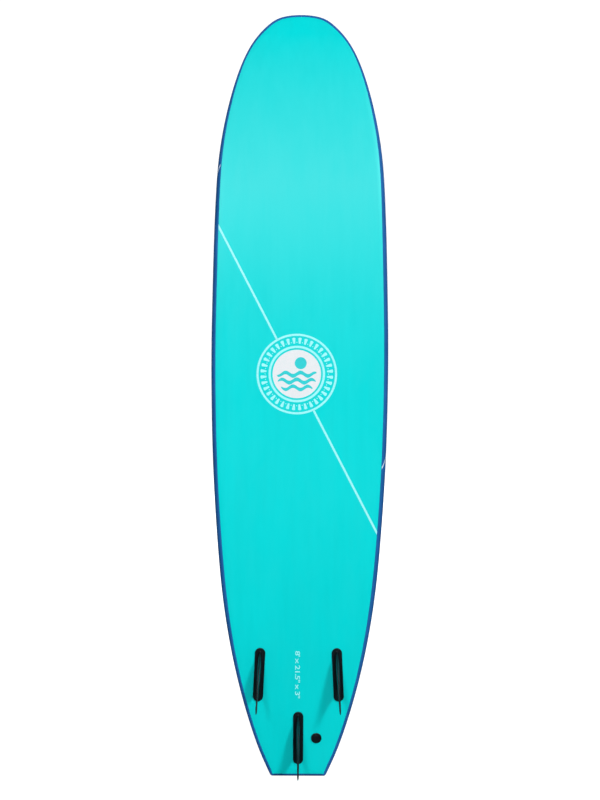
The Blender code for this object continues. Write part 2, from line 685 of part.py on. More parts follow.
# turned profiles: (radius, height), from the deck
CUP_OUTSIDE = [
    (0, -0.013), (0.0105, -0.013), (0.0108, 0.0002), (0.0145, 0.0002), (CUP_FLANGE_R, -0.0008),
    (CUP_FLANGE_R, CUP_FLANGE_LOW), (CUP_BODY_R, CUP_FLANGE_LOW), (CUP_BODY_R, CUP_BODY_LOW),
    (TUBE_R, CUP_BODY_LOW)]
CUP_BORE_END = [(TUBE_BORE_R, -0.020), (0, -0.020)]
STEM_TIP = [(0, -0.0215), (0.003, -0.0215), (STEM_R, -0.0225)]
# turned profiles: (radius, height), from the bottom
SEAL = [(0.0048, -0.0013), (0.0048, -GAP), (0.0135, -GAP), (0.0135, -0.0013)]
CAP = [(STEM_R, CAP_TOP), (CAP_R, CAP_TOP), (CAP_R, -0.0034), (CAP_R - 0.0014, -0.0046), (0, -0.0052)]


def cylinder(name, radius, length, surface, matrix, group=PARTS):
    bm = bmesh.new()
    bmesh.ops.create_cone(bm, cap_ends=True, segments=12, radius1=radius, radius2=radius,
                          depth=length)
    return add_object(name, mesh_from(name, bm), surface, matrix, group)


def leash_hole_profile(top):
    flange_r, body_r, tube_r = (r + FITTING_AIR for r in (CUP_FLANGE_R, CUP_BODY_R, TUBE_R))
    flange_low = top + (CUP_FLANGE_LOW - FITTING_AIR)
    body_low = top + (CUP_BODY_LOW - FITTING_AIR)
    end = top + LEASH_HOLE_OVERRUN
    return [(0, HOLE_START), (STEM_HOLE_R, HOLE_START), (STEM_HOLE_R, STEM_HOLE_END),
            (tube_r, STEM_HOLE_END), (tube_r, body_low), (body_r, body_low),
            (body_r, flange_low), (flange_r, flange_low), (flange_r, end), (0, end)]


def add_leash_plug():
    """Cup in the deck with a pin across it, and a seal and a cap with a stem at the bottom."""
    frame = bottom_frame(LEASH_X, LEASH_Z)
    top = depth_to_deck(frame)
    axis = frame @ INTO_BOARD
    tube_foot = [(TUBE_R, TUBE_FOOT), (TUBE_BORE_R, TUBE_FOOT)]
    cup = lathe("leash_cup", lifted(CUP_OUTSIDE, top) + tube_foot + lifted(CUP_BORE_END, top),
                BLACK, axis, steps=20)
    pin_at = (axis @ Matrix.Translation((0, 0, top - PIN_DEPTH))
              @ Matrix.Rotation(math.pi / 2, 4, "Y"))
    cylinder("leash_pin", 0.0018, 0.0236, STEEL, pin_at)
    boolean(cup, cylinder("pin_bore", 0.0021, 0.0244, None, pin_at, CUTTERS))
    lathe("leash_seal", SEAL, RUBBER, axis)
    lathe("leash_cap", lifted(STEM_TIP, top) + CAP, BLACK, axis, steps=24)
    hole = lathe("hole_leash", leash_hole_profile(top), None, axis, CUTTERS, steps=20)
    drill(hole, CORES["centre"])


add_leash_plug()
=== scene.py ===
# An 8 ft soft-top longboard standing on its tail: nose towards +Z, slick bottom towards -Y,
# deck towards +Y, tail end at Z = 0 and centre plane at X = 0.  The hull, fins and fittings
# follow the shape rules of the CAD solids, at a much finer resolution.

import math

import bmesh
import bpy
import numpy as np
from mathutils import Matrix, Vector
from mathutils.bvhtree import BVHTree


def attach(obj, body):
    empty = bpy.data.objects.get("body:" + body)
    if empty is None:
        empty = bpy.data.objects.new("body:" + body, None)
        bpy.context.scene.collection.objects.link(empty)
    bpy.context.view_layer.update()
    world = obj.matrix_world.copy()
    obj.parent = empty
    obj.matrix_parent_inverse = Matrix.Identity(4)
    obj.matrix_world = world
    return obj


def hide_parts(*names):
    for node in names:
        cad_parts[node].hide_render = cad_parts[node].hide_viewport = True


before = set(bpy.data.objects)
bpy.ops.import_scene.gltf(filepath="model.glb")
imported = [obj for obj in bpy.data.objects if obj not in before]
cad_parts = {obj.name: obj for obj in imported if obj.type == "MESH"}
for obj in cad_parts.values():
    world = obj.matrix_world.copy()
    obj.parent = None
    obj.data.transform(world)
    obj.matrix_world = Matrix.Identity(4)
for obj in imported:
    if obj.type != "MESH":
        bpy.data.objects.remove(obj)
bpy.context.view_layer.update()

# ---------------------------------------------------------------- driving dimensions
LENGTH = 2.438
TAIL_CORNER_R = 0.009
# (distance from the nose tip, half width)
TEMPLATE = [
    (0.0, 0.0), (0.011, 0.068), (0.038, 0.106), (0.094, 0.150), (0.167, 0.185), (0.238, 0.208),
    (0.374, 0.239), (0.506, 0.2575), (0.634, 0.265), (0.76, 0.269), (0.946, 0.273), (1.07, 0.275),
    (1.255, 0.274), (1.503, 0.266), (1.689, 0.254), (1.876, 0.236), (2.003, 0.2165),
    (2.13, 0.190), (2.259, 0.155), (2.324, 0.134), (2.39, 0.1085), (2.438, 0.0865)]
# (height above the tail, thickness on the centre line)
FOIL = [
    (0.0, 0.036), (0.15, 0.043), (0.4, 0.056), (0.8, 0.071), (1.25, 0.0762), (1.7, 0.071),
    (2.0, 0.060), (2.22, 0.047), (2.438, 0.030)]
FLAT_FROM, FLAT_TO = 1.0, 1.45                  # the bottom has no rocker between these heights
TAIL_ROCKER, NOSE_ROCKER = 0.055, 0.145
BOTTOM_Y = -0.073
# plan width of the rail's lower curve: amidships, lost aft, at the nose, gained at the tip,
# across the tail end
RAIL_BAND, BAND_AFT_LOSS, BAND_NOSE, BAND_TIP_GAIN, BAND_END = 0.0155, 0.0038, 0.0082, 0.0036, 0.0088
EDGE_ROLL, EDGE_RISE = 0.016, 0.0013            # the slick's edge rolls up over this width
SEAM_IN, SEAM_IN_END = 0.022, 0.010             # deck seam's distance in from the widest line
SLICK_T, FOAM_T = 0.002, 0.005
GAP = 0.00016                                   # between neighbouring skins

FIN_SIDE = (0.122, 0.3345, math.radians(2.8))   # side fins: x, z, toe-in
FIN_CENTRE_Z = 0.1315
FIN_H = 0.108
PLATE_L, PLATE_W, PLATE_T = 0.1695, 0.032, 0.0042
PLATE_AFT = 0.0042                              # the plate reaches further behind the posts
POST_R, POST_PITCH = 0.008, 0.090
WASHER_R, SEAT_DEPTH, SCREW_REACH = 0.013, 0.007, 0.012
LEASH_X, LEASH_Z, CAP_R = 0.0566, 0.1273, 0.0166
THREAD_PITCH = 0.0015

# grid of the visible hull
SIDE_STATIONS, ARC_POINTS, END_POINTS = 150, 10, 12
LAST_SIDE = SIDE_STATIONS + ARC_POINTS          # row where the rails meet the tail strip


# ---------------------------------------------------------------- hull shape
def cubic(points):
    """Natural cubic spline through the points, as a function that also gives its slope."""
    xs, ys = (np.array(c, float) for c in zip(*points))
    n, step = len(xs), np.diff(xs)
    system, rhs = np.eye(n), np.zeros(n)
    for i in range(1, n - 1):
        system[i, i - 1:i + 2] = step[i - 1], 2 * (step[i - 1] + step[i]), step[i]
        rhs[i] = 6 * ((ys[i + 1] - ys[i]) / step[i] - (ys[i] - ys[i - 1]) / step[i - 1])
    bend = np.linalg.solve(system, rhs)

    def value(x, slope=False):
        i = int(np.clip(np.searchsorted(xs, x) - 1, 0, n - 2))
        after, before, h = xs[i + 1] - x, x - xs[i], step[i]
        if slope:
            return ((-bend[i] * after * after + bend[i + 1] * before * before) / (2 * h)
                    + (ys[i + 1] - ys[i]) / h - (bend[i + 1] - bend[i]) * h / 6)
        return ((bend[i] * after ** 3 + bend[i + 1] * before ** 3) / (6 * h)
                + (ys[i] / h - bend[i] * h / 6) * after
                + (ys[i + 1] / h - bend[i + 1] * h / 6) * before)

    return value


# a spline over the root of the distance gives the nose its round tip
half_width = cubic([(math.sqrt(d), w) for d, w in TEMPLATE])
thickness = cubic(FOIL)


def smooth(t):
    t = min(max(t, 0.0), 1.0)
    return t * t * (3 - 2 * t)


def mix(a, b, t):
    return a * (1 - t) + b * t


def towards_nose(z, start):
    """Rises smoothly from 0 at the start height to 1 at the nose tip."""
    return smooth((z - start) / (LENGTH - start))


def rocker(z):
    """Y of the bottom's centre line."""
    y = 0.0
    if z < FLAT_FROM:
        y = TAIL_ROCKER * ((FLAT_FROM - z) / FLAT_FROM) ** 2
    elif z > FLAT_TO:
        y = NOSE_ROCKER * ((z - FLAT_TO) / (LENGTH - FLAT_TO)) ** 2.4
    return BOTTOM_Y + y


def path_lengths(points):
    """Distance run at each (x, z, ...) point of a path in plan."""
    steps = [math.hypot(b[0] - a[0], b[1] - a[1]) for a, b in zip(points, points[1:])]
    return np.concatenate([[0], np.cumsum(steps)])


def outline(side_stations, arc_points, end_points):
    """Half outline from the nose tip round to the middle of the tail, as rows of
    (x, z, inward x, inward z, tail-end share)."""
    slope = -half_width(math.sqrt(LENGTH), True) / (2 * math.sqrt(LENGTH))
    lean = math.atan(slope)
    z_side = TAIL_CORNER_R * (1 - math.sin(lean))
    corner_x = half_width(math.sqrt(LENGTH - z_side)) - TAIL_CORNER_R * math.cos(lean)
    rows = []
    for i in range(side_stations + 1):
        d = (LENGTH - z_side) * (1 - math.cos(math.pi * i / side_stations)) / 2
        root = math.sqrt(d)
        nx, nz = -2 * root, -half_width(root, True)
        size = math.hypot(nx, nz)
        z = LENGTH - d
        rows.append((half_width(root), z, nx / size, nz / size,
                     smooth((0.04 - z) / (0.04 - z_side)) * 0.35))
    for j in range(1, arc_points + 1):
        t = j / arc_points
        ang = -lean - t * (math.pi / 2 - lean)
        rows.append((corner_x + TAIL_CORNER_R * math.cos(ang),
                     TAIL_CORNER_R * (1 + math.sin(ang)),
                     -math.cos(ang), -math.sin(ang), 0.35 + 0.65 * smooth(t)))
    for j in range(1, end_points + 1):
        rows.append((corner_x * (1 - j / end_points), 0.0, 0.0, 1.0, 1.0))

    # near the tail corner the inward rays turn towards its bisector, so that they don't cross
    middle = side_stations + arc_points / 2
    bisector = math.pi / 2 + (math.pi / 2 - lean) / 2
    run = path_lengths(rows)
    run_mid = float(np.interp(middle, range(len(rows)), run))
    out = []
    for i, (x, z, nx, nz, end) in enumerate(rows):
        reach = 0.09 if i <= middle else run[-1] - run_mid
        near = max(0.0, 1 - abs(run[i] - run_mid) / reach)
        true = math.atan2(nz, nx)
        ang = true + (bisector - true) * near
        stretch = 1 / math.cos(ang - true)
        out.append((x, z, math.cos(ang) * stretch, math.sin(ang) * stretch, end))
    return out


def spine_heights(rows):
    """Where each outline point's ray meets the centre line: level rays, fanning at both ends."""
    run = path_lengths(rows)
    z = np.array([r[1] for r in rows])
    fan_nose, fan_tail = LENGTH - 0.6, 0.30
    i_nose = max(i for i in range(len(z)) if z[i] >= fan_nose)
    i_tail = min(i for i in range(len(z)) if z[i] <= fan_tail)
    out = z.copy()
    for i in range(len(z)):
        if i <= i_nose:
            s = run[i_nose] - run[i]
            out[i] = z[i_nose] + s - 0.4 * s * s / run[i_nose]
        elif i >= i_tail:
            s = run[i] - run[i_tail]
            out[i] = z[i_tail] - s + 0.45 * s * s / (run[-1] - run[i_tail])
    return out


def hull_row(station, z_spine, flat, roll, low, high, deck):
    """Points of one grid row, and the columns of the slick seam, widest line and deck seam."""
    x, z, nx, nz, end = station
    slim = towards_nose(z, 1.6)
    aft = smooth((0.66 - z) / 0.50)
    band = mix(RAIL_BAND * (1 - slim) - BAND_AFT_LOSS * aft + BAND_NOSE * slim
               + BAND_TIP_GAIN * towards_nose(z, 2.28), BAND_END, end)
    t_here, t_spine = thickness(z), thickness(z_spine)
    apex = 0.42 * t_here
    half_flat = 0.0015 + 0.0015 * (1 - towards_nose(z, 1.9))
    wide_low = mix(apex - half_flat, 0.0065, end)            # the rail is upright between these
    wide_high = mix(apex + half_flat, t_here - 0.0075, end)
    seam = mix(SEAM_IN, SEAM_IN_END, end)

    def plan(d):
        return x + nx * d, z + nz * d

    seam_x, seam_z = plan(seam)
    reach = seam + math.hypot(seam_x, seam_z - z_spine)

    def deck_height(run):
        xi = max(0.0, 1 - run / reach)
        side = wide_high + (t_spine - wide_high) * math.sqrt(max(0.0, 1 - xi ** 3.6))
        r = min(run / 0.008, 1.0)
        square = wide_high + (t_spine - wide_high) * math.sqrt(1 - (1 - r) ** 2)
        return mix(side, square, end)

    def at(px, pz, height):
        return px, rocker(pz) + height, pz

    ring = band + EDGE_ROLL
    ring_x, ring_z = plan(ring)
    row = [at(ring_x * f, mix(z_spine, ring_z, f), 0.0) for f in flat]
    for k in range(1, roll):
        t = k / roll
        row.append(at(*plan(ring - EDGE_ROLL * t), EDGE_RISE * t * t))
    slick_col = len(row)
    for f in low:                               # slick edge to the lower widest line
        ang = math.pi / 2 * f
        height = EDGE_RISE + (wide_low - EDGE_RISE) * (1 - math.cos(ang))
        row.append(at(*plan(band * (1 - math.sin(ang))), height))
    widest_col = len(row)
    row.append(at(x, z, wide_high))
    for f in high:                              # upper widest line to the deck seam
        row.append(at(*plan(seam * f), deck_height(seam * f)))
    deck_col = len(row) - 1
    for f in deck:
        row.append(at(seam_x * (1 - f), mix(seam_z, z_spine, f),
                      deck_height(seam + (reach - seam) * f)))
    return row, (slick_col, widest_col, deck_col)


def hull_grid(rows, **columns):
    """Outer surface of half the board: columns run from the bottom's centre line out to the
    rail, round it and over the deck to its centre line.  Returns the points, the inward
    normals, and the columns of the slick seam, the upper widest line and the deck seam."""
    grid = []
    for station, z_spine in zip(rows, spine_heights(rows)):
        row, seams = hull_row(station, z_spine, **columns)
        grid.append(row)
    p = np.array(grid)
    flip = np.array([-1.0, 1.0, 1.0])
    ghost = np.concatenate([(p[1] * flip)[None], p, (p[-2] * flip)[None]])
    along = ghost[2:] - ghost[:-2]
    wide = np.concatenate([(p[:, 1] * flip)[:, None], p, (p[:, -2] * flip)[:, None]], axis=1)
    across = wide[:, 2:] - wide[:, :-2]
    n = np.cross(along, across)
    n /= np.maximum(np.linalg.norm(n, axis=2, keepdims=True), 1e-12)
    for i, k in ((0, 0), (0, -1), (-1, 0), (-1, -1)):
        n[i, k] = n[i, 1 if k == 0 else -2] + n[1 if i == 0 else -2, k]
    n[0, :, 0] = n[-1, :, 0] = n[:, 0, 0] = n[:, -1, 0] = 0.0
    n /= np.linalg.norm(n, axis=2, keepdims=True)
    if n[len(p) // 2, 0, 1] < 0:
        n = -n
    return p, n, *seams


# ---------------------------------------------------------------- procedural materials
class Material:
    """A Principled material and short ways to add nodes to it."""

    def __init__(self, name, rough=0.5, metal=0.0, spec=0.5):
        self.mat = bpy.data.materials.new(name)
        self.mat.use_nodes = True
        self.tree = self.mat.node_tree
        self.shader = self.tree.nodes["Principled BSDF"]
        self.shader.inputs["Roughness"].default_value = rough
        self.shader.inputs["Metallic"].default_value = metal
        self.shader.inputs["Specular IOR Level"].default_value = spec
        self.coord = self.add("ShaderNodeTexCoord").outputs["Object"]

    def add(self, kind, **props):
        node = self.tree.nodes.new(kind)
        for key, value in props.items():
            setattr(node, key, value)
        return node

    def wire(self, value, socket):
        if isinstance(value, bpy.types.NodeSocket):
            self.tree.links.new(value, socket)
        elif isinstance(value, (tuple, list)) and len(value) == 3 and socket.type == "RGBA":
            socket.default_value = (*value, 1.0)
        else:
            socket.default_value = value

    def noise(self, scale, detail=3.0, rough=0.5, stretch=None, distortion=0.0):
        vector = self.coord
        if stretch:
            mapping = self.add("ShaderNodeMapping")
            mapping.inputs["Scale"].default_value = stretch
            self.wire(self.coord, mapping.inputs["Vector"])
            vector = mapping.outputs["Vector"]
        node = self.add("ShaderNodeTexNoise")
        self.wire(vector, node.inputs["Vector"])
        node.inputs["Scale"].default_value = scale
        node.inputs["Detail"].default_value = detail
        node.inputs["Roughness"].default_value = rough
        node.inputs["Distortion"].default_value = distortion
        return node.outputs["Fac"]

    def cells(self, scale, feature="DISTANCE_TO_EDGE", vector=None):
        node = self.add("ShaderNodeTexVoronoi", feature=feature)
        self.wire(vector or self.coord, node.inputs["Vector"])
        node.inputs["Scale"].default_value = scale
        node.inputs["Randomness"].default_value = 1.0
        return node.outputs["Distance"]

    def axis(self, index):
        """One coordinate of the object space."""
        node = self.add("ShaderNodeSeparateXYZ")
        self.wire(self.coord, node.inputs[0])
        return node.outputs[index]

    def remap(self, value, given, to=(0.0, 1.0)):
        """Maps the given range to another, clamped."""
        node = self.add("ShaderNodeMapRange", clamp=True)
        self.wire(value, node.inputs["Value"])
        for key, number in zip(("From Min", "From Max", "To Min", "To Max"), (*given, *to)):
            node.inputs[key].default_value = number
        return node.outputs["Result"]

    def math(self, op, a, b=0.0):
        node = self.add("ShaderNodeMath", operation=op)
        self.wire(a, node.inputs[0])
        self.wire(b, node.inputs[1])
        return node.outputs[0]

    def weigh(self, first, share, second, second_share):
        """Weighted sum of two values."""
        return self.math("ADD", self.math("MULTIPLY", first, share),
                         self.math("MULTIPLY", second, second_share))

    def blend(self, fac, low, high):
        node = self.add("ShaderNodeMix", data_type="RGBA")
        self.wire(fac, node.inputs[0])
        self.wire(low, node.inputs[6])
        self.wire(high, node.inputs[7])
        return node.outputs[2]

    def bump(self, height, distance, under=None):
        node = self.add("ShaderNodeBump")
        node.inputs["Distance"].default_value = distance
        node.inputs["Strength"].default_value = 1.0
        self.wire(height, node.inputs["Height"])
        if under is not None:
            self.wire(under, node.inputs["Normal"])
        return node.outputs["Normal"]

    def finish(self, colour=None, rough=None, normal=None, **more):
        known = (("Base Color", colour), ("Roughness", rough), ("Normal", normal))
        for name, value in (*known, *more.items()):
            if value is not None:
                self.wire(value, self.shader.inputs[name.replace("_", " ")])
        return self.mat


def slick_plastic():
    """HDPE sheet: a soft sheen, streaks along the board and a faint ripple, and a painted sheen: a
    paler, redder tint between the middle and the nose.
    """
    m = Material("slick_teal_hdpe", spec=0.5)
    cloud = m.noise(scale=7.0, detail=3.0, rough=0.55, stretch=(1.0, 1.0, 0.35))
    streak = m.noise(scale=46.0, detail=4.0, rough=0.6, stretch=(1.0, 1.0, 0.06), distortion=0.3)
    patch = m.noise(scale=20.0, detail=4.0, rough=0.62, stretch=(1.0, 1.0, 0.30), distortion=0.5)
    tone = m.weigh(cloud, 0.55, streak, 0.45)
    colour = m.blend(m.remap(tone, (0.35, 0.65)), low=(0.0, 0.650, 0.660),
                     high=(0.0, 0.684, 0.694))
    z = m.axis(2)                               # painted sheen: a paler, redder tint between the middle and the nose, where the lights' broad reflection falls
    up = m.remap(z, (1.15, 1.85))
    down = m.remap(z, (1.85, 2.36), to=(1.0, 0.0))
    painted_sheen = m.math("MULTIPLY", m.math("MULTIPLY", up, up), m.math("POWER", down, 0.8))
    painted_sheen = m.math("MULTIPLY", painted_sheen, m.remap(streak, (0.3, 0.7), to=(0.90, 1.10)))
    # painted sheen colour: the teal lifted paler and redder, as by the lights' reflection
    colour = m.blend(painted_sheen, low=colour, high=(0.041, 0.670, 0.680))
    rough = m.math("ADD", m.remap(patch, (0.3, 0.7), to=(0.36, 0.42)),
                   m.remap(streak, (0.3, 0.7), to=(-0.02, 0.02)))
    spec = m.remap(patch, (0.32, 0.68), to=(0.26, 0.44))
    ripple = m.bump(patch, distance=0.00012)
    grain = m.bump(m.noise(scale=900.0, detail=2.0), distance=0.000006, under=ripple)
    return m.finish(colour, rough, grain, Specular_IOR_Level=spec,
                    Specular_Tint=(0.35, 1.0, 1.0))


def embossed_foam(name, dark, light):
    """Closed-cell foam sheet with a pressed crocodile-skin grain."""
    m = Material(name, rough=0.8, spec=0.16)
    warp = m.add("ShaderNodeVectorMath", operation="MULTIPLY_ADD")
    wobble = m.add("ShaderNodeTexNoise")
    m.wire(m.coord, wobble.inputs["Vector"])
    wobble.inputs["Scale"].default_value = 90.0
    m.wire(wobble.outputs["Color"], warp.inputs[0])
    warp.inputs[1].default_value = (0.004, 0.004, 0.004)     # how far the cells are shifted
    m.wire(m.coord, warp.inputs[2])
    pillow = m.remap(m.cells(scale=190.0, vector=warp.outputs[0]), (0.0, 0.22))
    press = m.bump(pillow, distance=0.0009)
    pores = m.bump(m.noise(scale=1500.0, detail=3.0, rough=0.7), distance=0.00022, under=press)
    tone = m.weigh(pillow, 0.55, m.noise(scale=5.0, detail=4.0), 0.6)
    colour = m.blend(m.remap(tone, (0.2, 0.95)), dark, light)
    return m.finish(colour, m.remap(pillow, (0.0, 1.0), to=(0.92, 0.68)), pores)


def pored_foam(name, dark, light):
    """Closed-cell foam with a fine pored skin."""
    m = Material(name, rough=0.8, spec=0.16)
    fine = m.noise(scale=1100.0, detail=3.0, rough=0.7)
    pits = m.cells(scale=700.0, feature="F1")
    skin = m.bump(m.remap(pits, (0.0, 0.45)), distance=0.00022)
    skin = m.bump(fine, distance=0.00015, under=skin)
    tone = m.weigh(m.noise(scale=9.0, detail=4.0, rough=0.6), 0.7, fine, 0.3)
    colour = m.blend(m.remap(tone, (0.3, 0.7)), dark, light)
    return m.finish(colour, m.remap(fine, (0.3, 0.7), to=(0.62, 0.80)), skin)


def print_ink(name, colour, worn):
    """Screen-printed ink with a speckle of wear."""
    m = Material(name, rough=0.42, spec=0.4)
    speck = m.noise(scale=320.0, detail=5.0, rough=0.7)
    tone = m.blend(m.remap(speck, (0.36, 0.62)), low=worn, high=colour)
    return m.finish(tone, m.remap(speck, (0.3, 0.7), to=(0.5, 0.38)),
                    m.bump(speck, distance=0.00004))


def moulded_plastic(name, dark, light, rough, grain=0.00006, spec=0.5):
    """Black moulding with a spark-eroded texture and faint flow lines."""
    m = Material(name, spec=spec)
    erode = m.noise(scale=1700.0, detail=3.0, rough=0.65)
    flow = m.noise(scale=38.0, detail=4.0, rough=0.6, stretch=(1.0, 0.25, 0.25), distortion=0.8)
    colour = m.blend(m.remap(flow, (0.35, 0.65)), dark, light)
    value = m.math("ADD", m.remap(flow, (0.3, 0.7), to=(rough - 0.06, rough + 0.07)),
                   m.remap(erode, (0.3, 0.7), to=(-0.03, 0.03)))
    return m.finish(colour, value, m.bump(erode, distance=grain))


def bead_foam():
    """Moulded bead foam: packed round beads with pinched joints between them."""
    m = Material("core_bead_foam", rough=0.9, spec=0.2)
    shape = m.remap(m.cells(scale=260.0), (0.0, 0.16))
    colour = m.blend(shape, low=(0.66, 0.65, 0.61), high=(0.86, 0.86, 0.84))
    return m.finish(colour, normal=m.bump(shape, distance=0.0006))


def plywood():
    """Plies seen on edge, long grain along the board."""
    m = Material("stringer_plywood", rough=0.62, spec=0.3)
    grain = m.noise(scale=60.0, detail=6.0, rough=0.65, stretch=(6.0, 4.0, 0.10), distortion=0.6)
    fibre = m.noise(scale=420.0, detail=3.0, rough=0.6, stretch=(3.0, 3.0, 0.05))
    plies_per_metre = 750.0
    across = m.math("MULTIPLY", m.math("ABSOLUTE", m.axis(0)), plies_per_metre)
    plies = m.math("PINGPONG", across, 1.0)
    tone = m.weigh(grain, 0.7, m.remap(plies, (0.35, 0.65)), 0.3)
    colour = m.blend(m.remap(tone, (0.3, 0.8)), low=(0.36, 0.21, 0.10), high=(0.68, 0.48, 0.28))
    return m.finish(colour, m.remap(fibre, (0.3, 0.7), to=(0.55, 0.75)),
                    m.bump(fibre, distance=0.0001))


def turned_metal(name, base, shade, rough):
    """Turned metal: fine lathe marks, slight staining."""
    m = Material(name, metal=1.0)
    marks = m.noise(scale=2400.0, detail=2.0, rough=0.5)
    stain = m.noise(scale=150.0, detail=4.0, rough=0.6)
    colour = m.blend(m.remap(stain, (0.35, 0.7)), low=base, high=shade)
    value = m.math("ADD", m.remap(marks, (0.3, 0.7), to=(rough - 0.05, rough + 0.08)),
                   m.remap(stain, (0.4, 0.8), to=(0.0, 0.1)))
    return m.finish(colour, value, m.bump(marks, distance=0.00002))


SLICK = slick_plastic()
DECK = embossed_foam("deck_foam_blue_embossed", dark=(0.009, 0.085, 0.290),
                     light=(0.026, 0.160, 0.490))
# the tail strip: the rail's foam darkened with painted shade, for the end that faces down and away
# from the lights
TAIL_PAINTED_SHADE = pored_foam("tail_foam_blue_painted_shade", dark=(0.005, 0.062, 0.190), light=(0.011, 0.094, 0.270))
RAIL = pored_foam("rail_foam_blue_skin", dark=(0.008, 0.094, 0.310), light=(0.020, 0.142, 0.440))
INK = print_ink("print_pale", colour=(0.38, 0.92, 0.93), worn=(0.27, 0.86, 0.88))
INK_DISC = print_ink("print_disc", colour=(0.80, 0.81, 0.845), worn=(0.72, 0.78, 0.81))
INK_TEAL = print_ink("print_teal", colour=(0.010, 0.640, 0.680), worn=(0.020, 0.560, 0.600))
INK_DECK = print_ink("print_deck_white", colour=(0.70, 0.84, 0.94), worn=(0.52, 0.68, 0.86))
BLACK = moulded_plastic("moulded_black_fin", dark=(0.0025, 0.0062, 0.0085),
                        light=(0.0050, 0.0105, 0.0135), rough=0.38, spec=0.38)
BLACK_FITTING = moulded_plastic("moulded_black_fitting", dark=(0.0030, 0.0060, 0.0080),
                                light=(0.0060, 0.0100, 0.0125), rough=0.42, spec=0.4)
RUBBER = moulded_plastic("seal_rubber_matt", dark=(0.010, 0.010, 0.010),
                         light=(0.018, 0.018, 0.019), rough=0.78, grain=0.0001, spec=0.3)
BEADS = bead_foam()
PLY = plywood()
STEEL = turned_metal("stainless_steel_turned", base=(0.60, 0.61, 0.62),
                     shade=(0.48, 0.49, 0.50), rough=0.24)
BRASS = turned_metal("brass_turned", base=(0.80, 0.58, 0.27), shade=(0.62, 0.42, 0.18), rough=0.28)


# ---------------------------------------------------------------- mesh helpers
def finished(name, bm, angle=32):
    """Mesh with outward normals, smooth except at edges sharper than the angle."""
    bmesh.ops.recalc_face_normals(bm, faces=bm.faces[:])
    me = bpy.data.meshes.new(name)
    bm.to_mesh(me)
    bm.free()
    smooth_shaded(me, angle)
    return me


def smooth_shaded(me, angle=32):
    me.shade_smooth()
    me.set_sharp_from_angle(angle=math.radians(angle))


def linked(name, data):
    ob = bpy.data.objects.new(name, data)
    bpy.context.scene.collection.objects.link(ob)
    return ob


def piece(name, bm, material, body="board", matrix=None, replaces=None, angle=32):
    """Turns a bmesh into a finished object that rides a body of the frame."""
    mesh = finished(name, bm, angle)
    ob = linked(name, mesh)
    mesh.materials.append(material)
    if matrix is not None:
        mesh.transform(matrix)
    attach(ob, body)
    if replaces:
        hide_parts(replaces)
    return ob


def two_triangles(v, i, k):
    """A grid quad as two triangles, on the diagonal that leaves none in the centre plane."""
    a, b, c, d = v[i][k], v[i + 1][k], v[i + 1][k + 1], v[i][k + 1]
    if any(max(abs(q.co.x) for q in tri) < 1e-6 for tri in ((a, b, c), (a, c, d))):
        return (a, b, d), (b, c, d)
    return (a, b, c), (a, c, d)


def shell(outer, inner, rims):
    """Two grids of points as a shell, with rims on the chosen sides:
    first row, last row, first column, last column."""
    bm = bmesh.new()
    r, c = outer.shape[:2]
    vo = [[bm.verts.new(outer[i, k]) for k in range(c)] for i in range(r)]
    vi = [[bm.verts.new(inner[i, k]) for k in range(c)] for i in range(r)]
    for i in range(r - 1):
        for k in range(c - 1):
            for v, turn in ((vo, 1), (vi, -1)):
                for tri in two_triangles(v, i, k):
                    bm.faces.new(tri[::turn])
    for on, i in zip(rims[:2], (0, r - 1)):
        if on:
            for k in range(c - 1):
                bm.faces.new((vo[i][k], vo[i][k + 1], vi[i][k + 1], vi[i][k]))
    for on, k in zip(rims[2:], (0, c - 1)):
        if on:
            for i in range(r - 1):
                bm.faces.new((vo[i][k], vo[i + 1][k], vi[i + 1][k], vi[i][k]))
    return bm


ALL_RIMS = (True,) * 4


def mirrored(bm):
    """Adds the other half across X = 0 and welds the two together along it."""
    made = bmesh.ops.duplicate(bm, geom=bm.verts[:] + bm.edges[:] + bm.faces[:])
    for v in [g for g in made["geom"] if isinstance(g, bmesh.types.BMVert)]:
        v.co.x = -v.co.x
    plane = [v for v in bm.verts if abs(v.co.x) < 1e-7]
    bmesh.ops.remove_doubles(bm, verts=plane, dist=1e-6)
    return bm


def pull(points, towards, by):
    """Moves points towards others by a distance."""
    step = towards - points
    return points + step / np.linalg.norm(step, axis=-1, keepdims=True) * by


def bridge(bm, loops, closed=False):
    """Joins equal loops of vertices one after another: into a ring, or capped at both ends."""
    for a, b in zip(loops, loops[1:] + (loops[:1] if closed else [])):
        for i in range(len(a)):
            j = (i + 1) % len(a)
            bm.faces.new((a[i], a[j], b[j], b[i]))
    if not closed:
        bm.faces.new(loops[0])
        bm.faces.new(loops[-1])


def turned(profile, steps=64, bm=None, closed=False, matrix=None):
    """Turned piece about its own Z.  Each profile point is (radius, height) or (radius,
    height, shape), where shape gives the radius at an angle.  Open profiles start and end
    at radius 0; closed ones make a ring."""
    bm = bm or bmesh.new()
    m = matrix or Matrix.Identity(4)
    rings = []
    for radius, height, *shape in profile:
        if radius == 0:
            rings.append([bm.verts.new(m @ Vector((0, 0, height)))])
            continue
        ring = []
        for j in range(steps):
            a = 2 * math.pi * j / steps
            r = shape[0](a) if shape else radius
            ring.append(bm.verts.new(m @ Vector((r * math.cos(a), r * math.sin(a), height))))
        rings.append(ring)
    pairs = list(zip(rings, rings[1:]))
    if closed:
        pairs.append((rings[-1], rings[0]))
    for a, b in pairs:
        for j in range(steps):
            k = (j + 1) % steps
            if len(a) == 1:
                bm.faces.new((a[0], b[j], b[k]))
            elif len(b) == 1:
                bm.faces.new((a[j], b[0], a[k]))
            else:
                bm.faces.new((a[j], b[j], b[k], a[k]))
    return bm


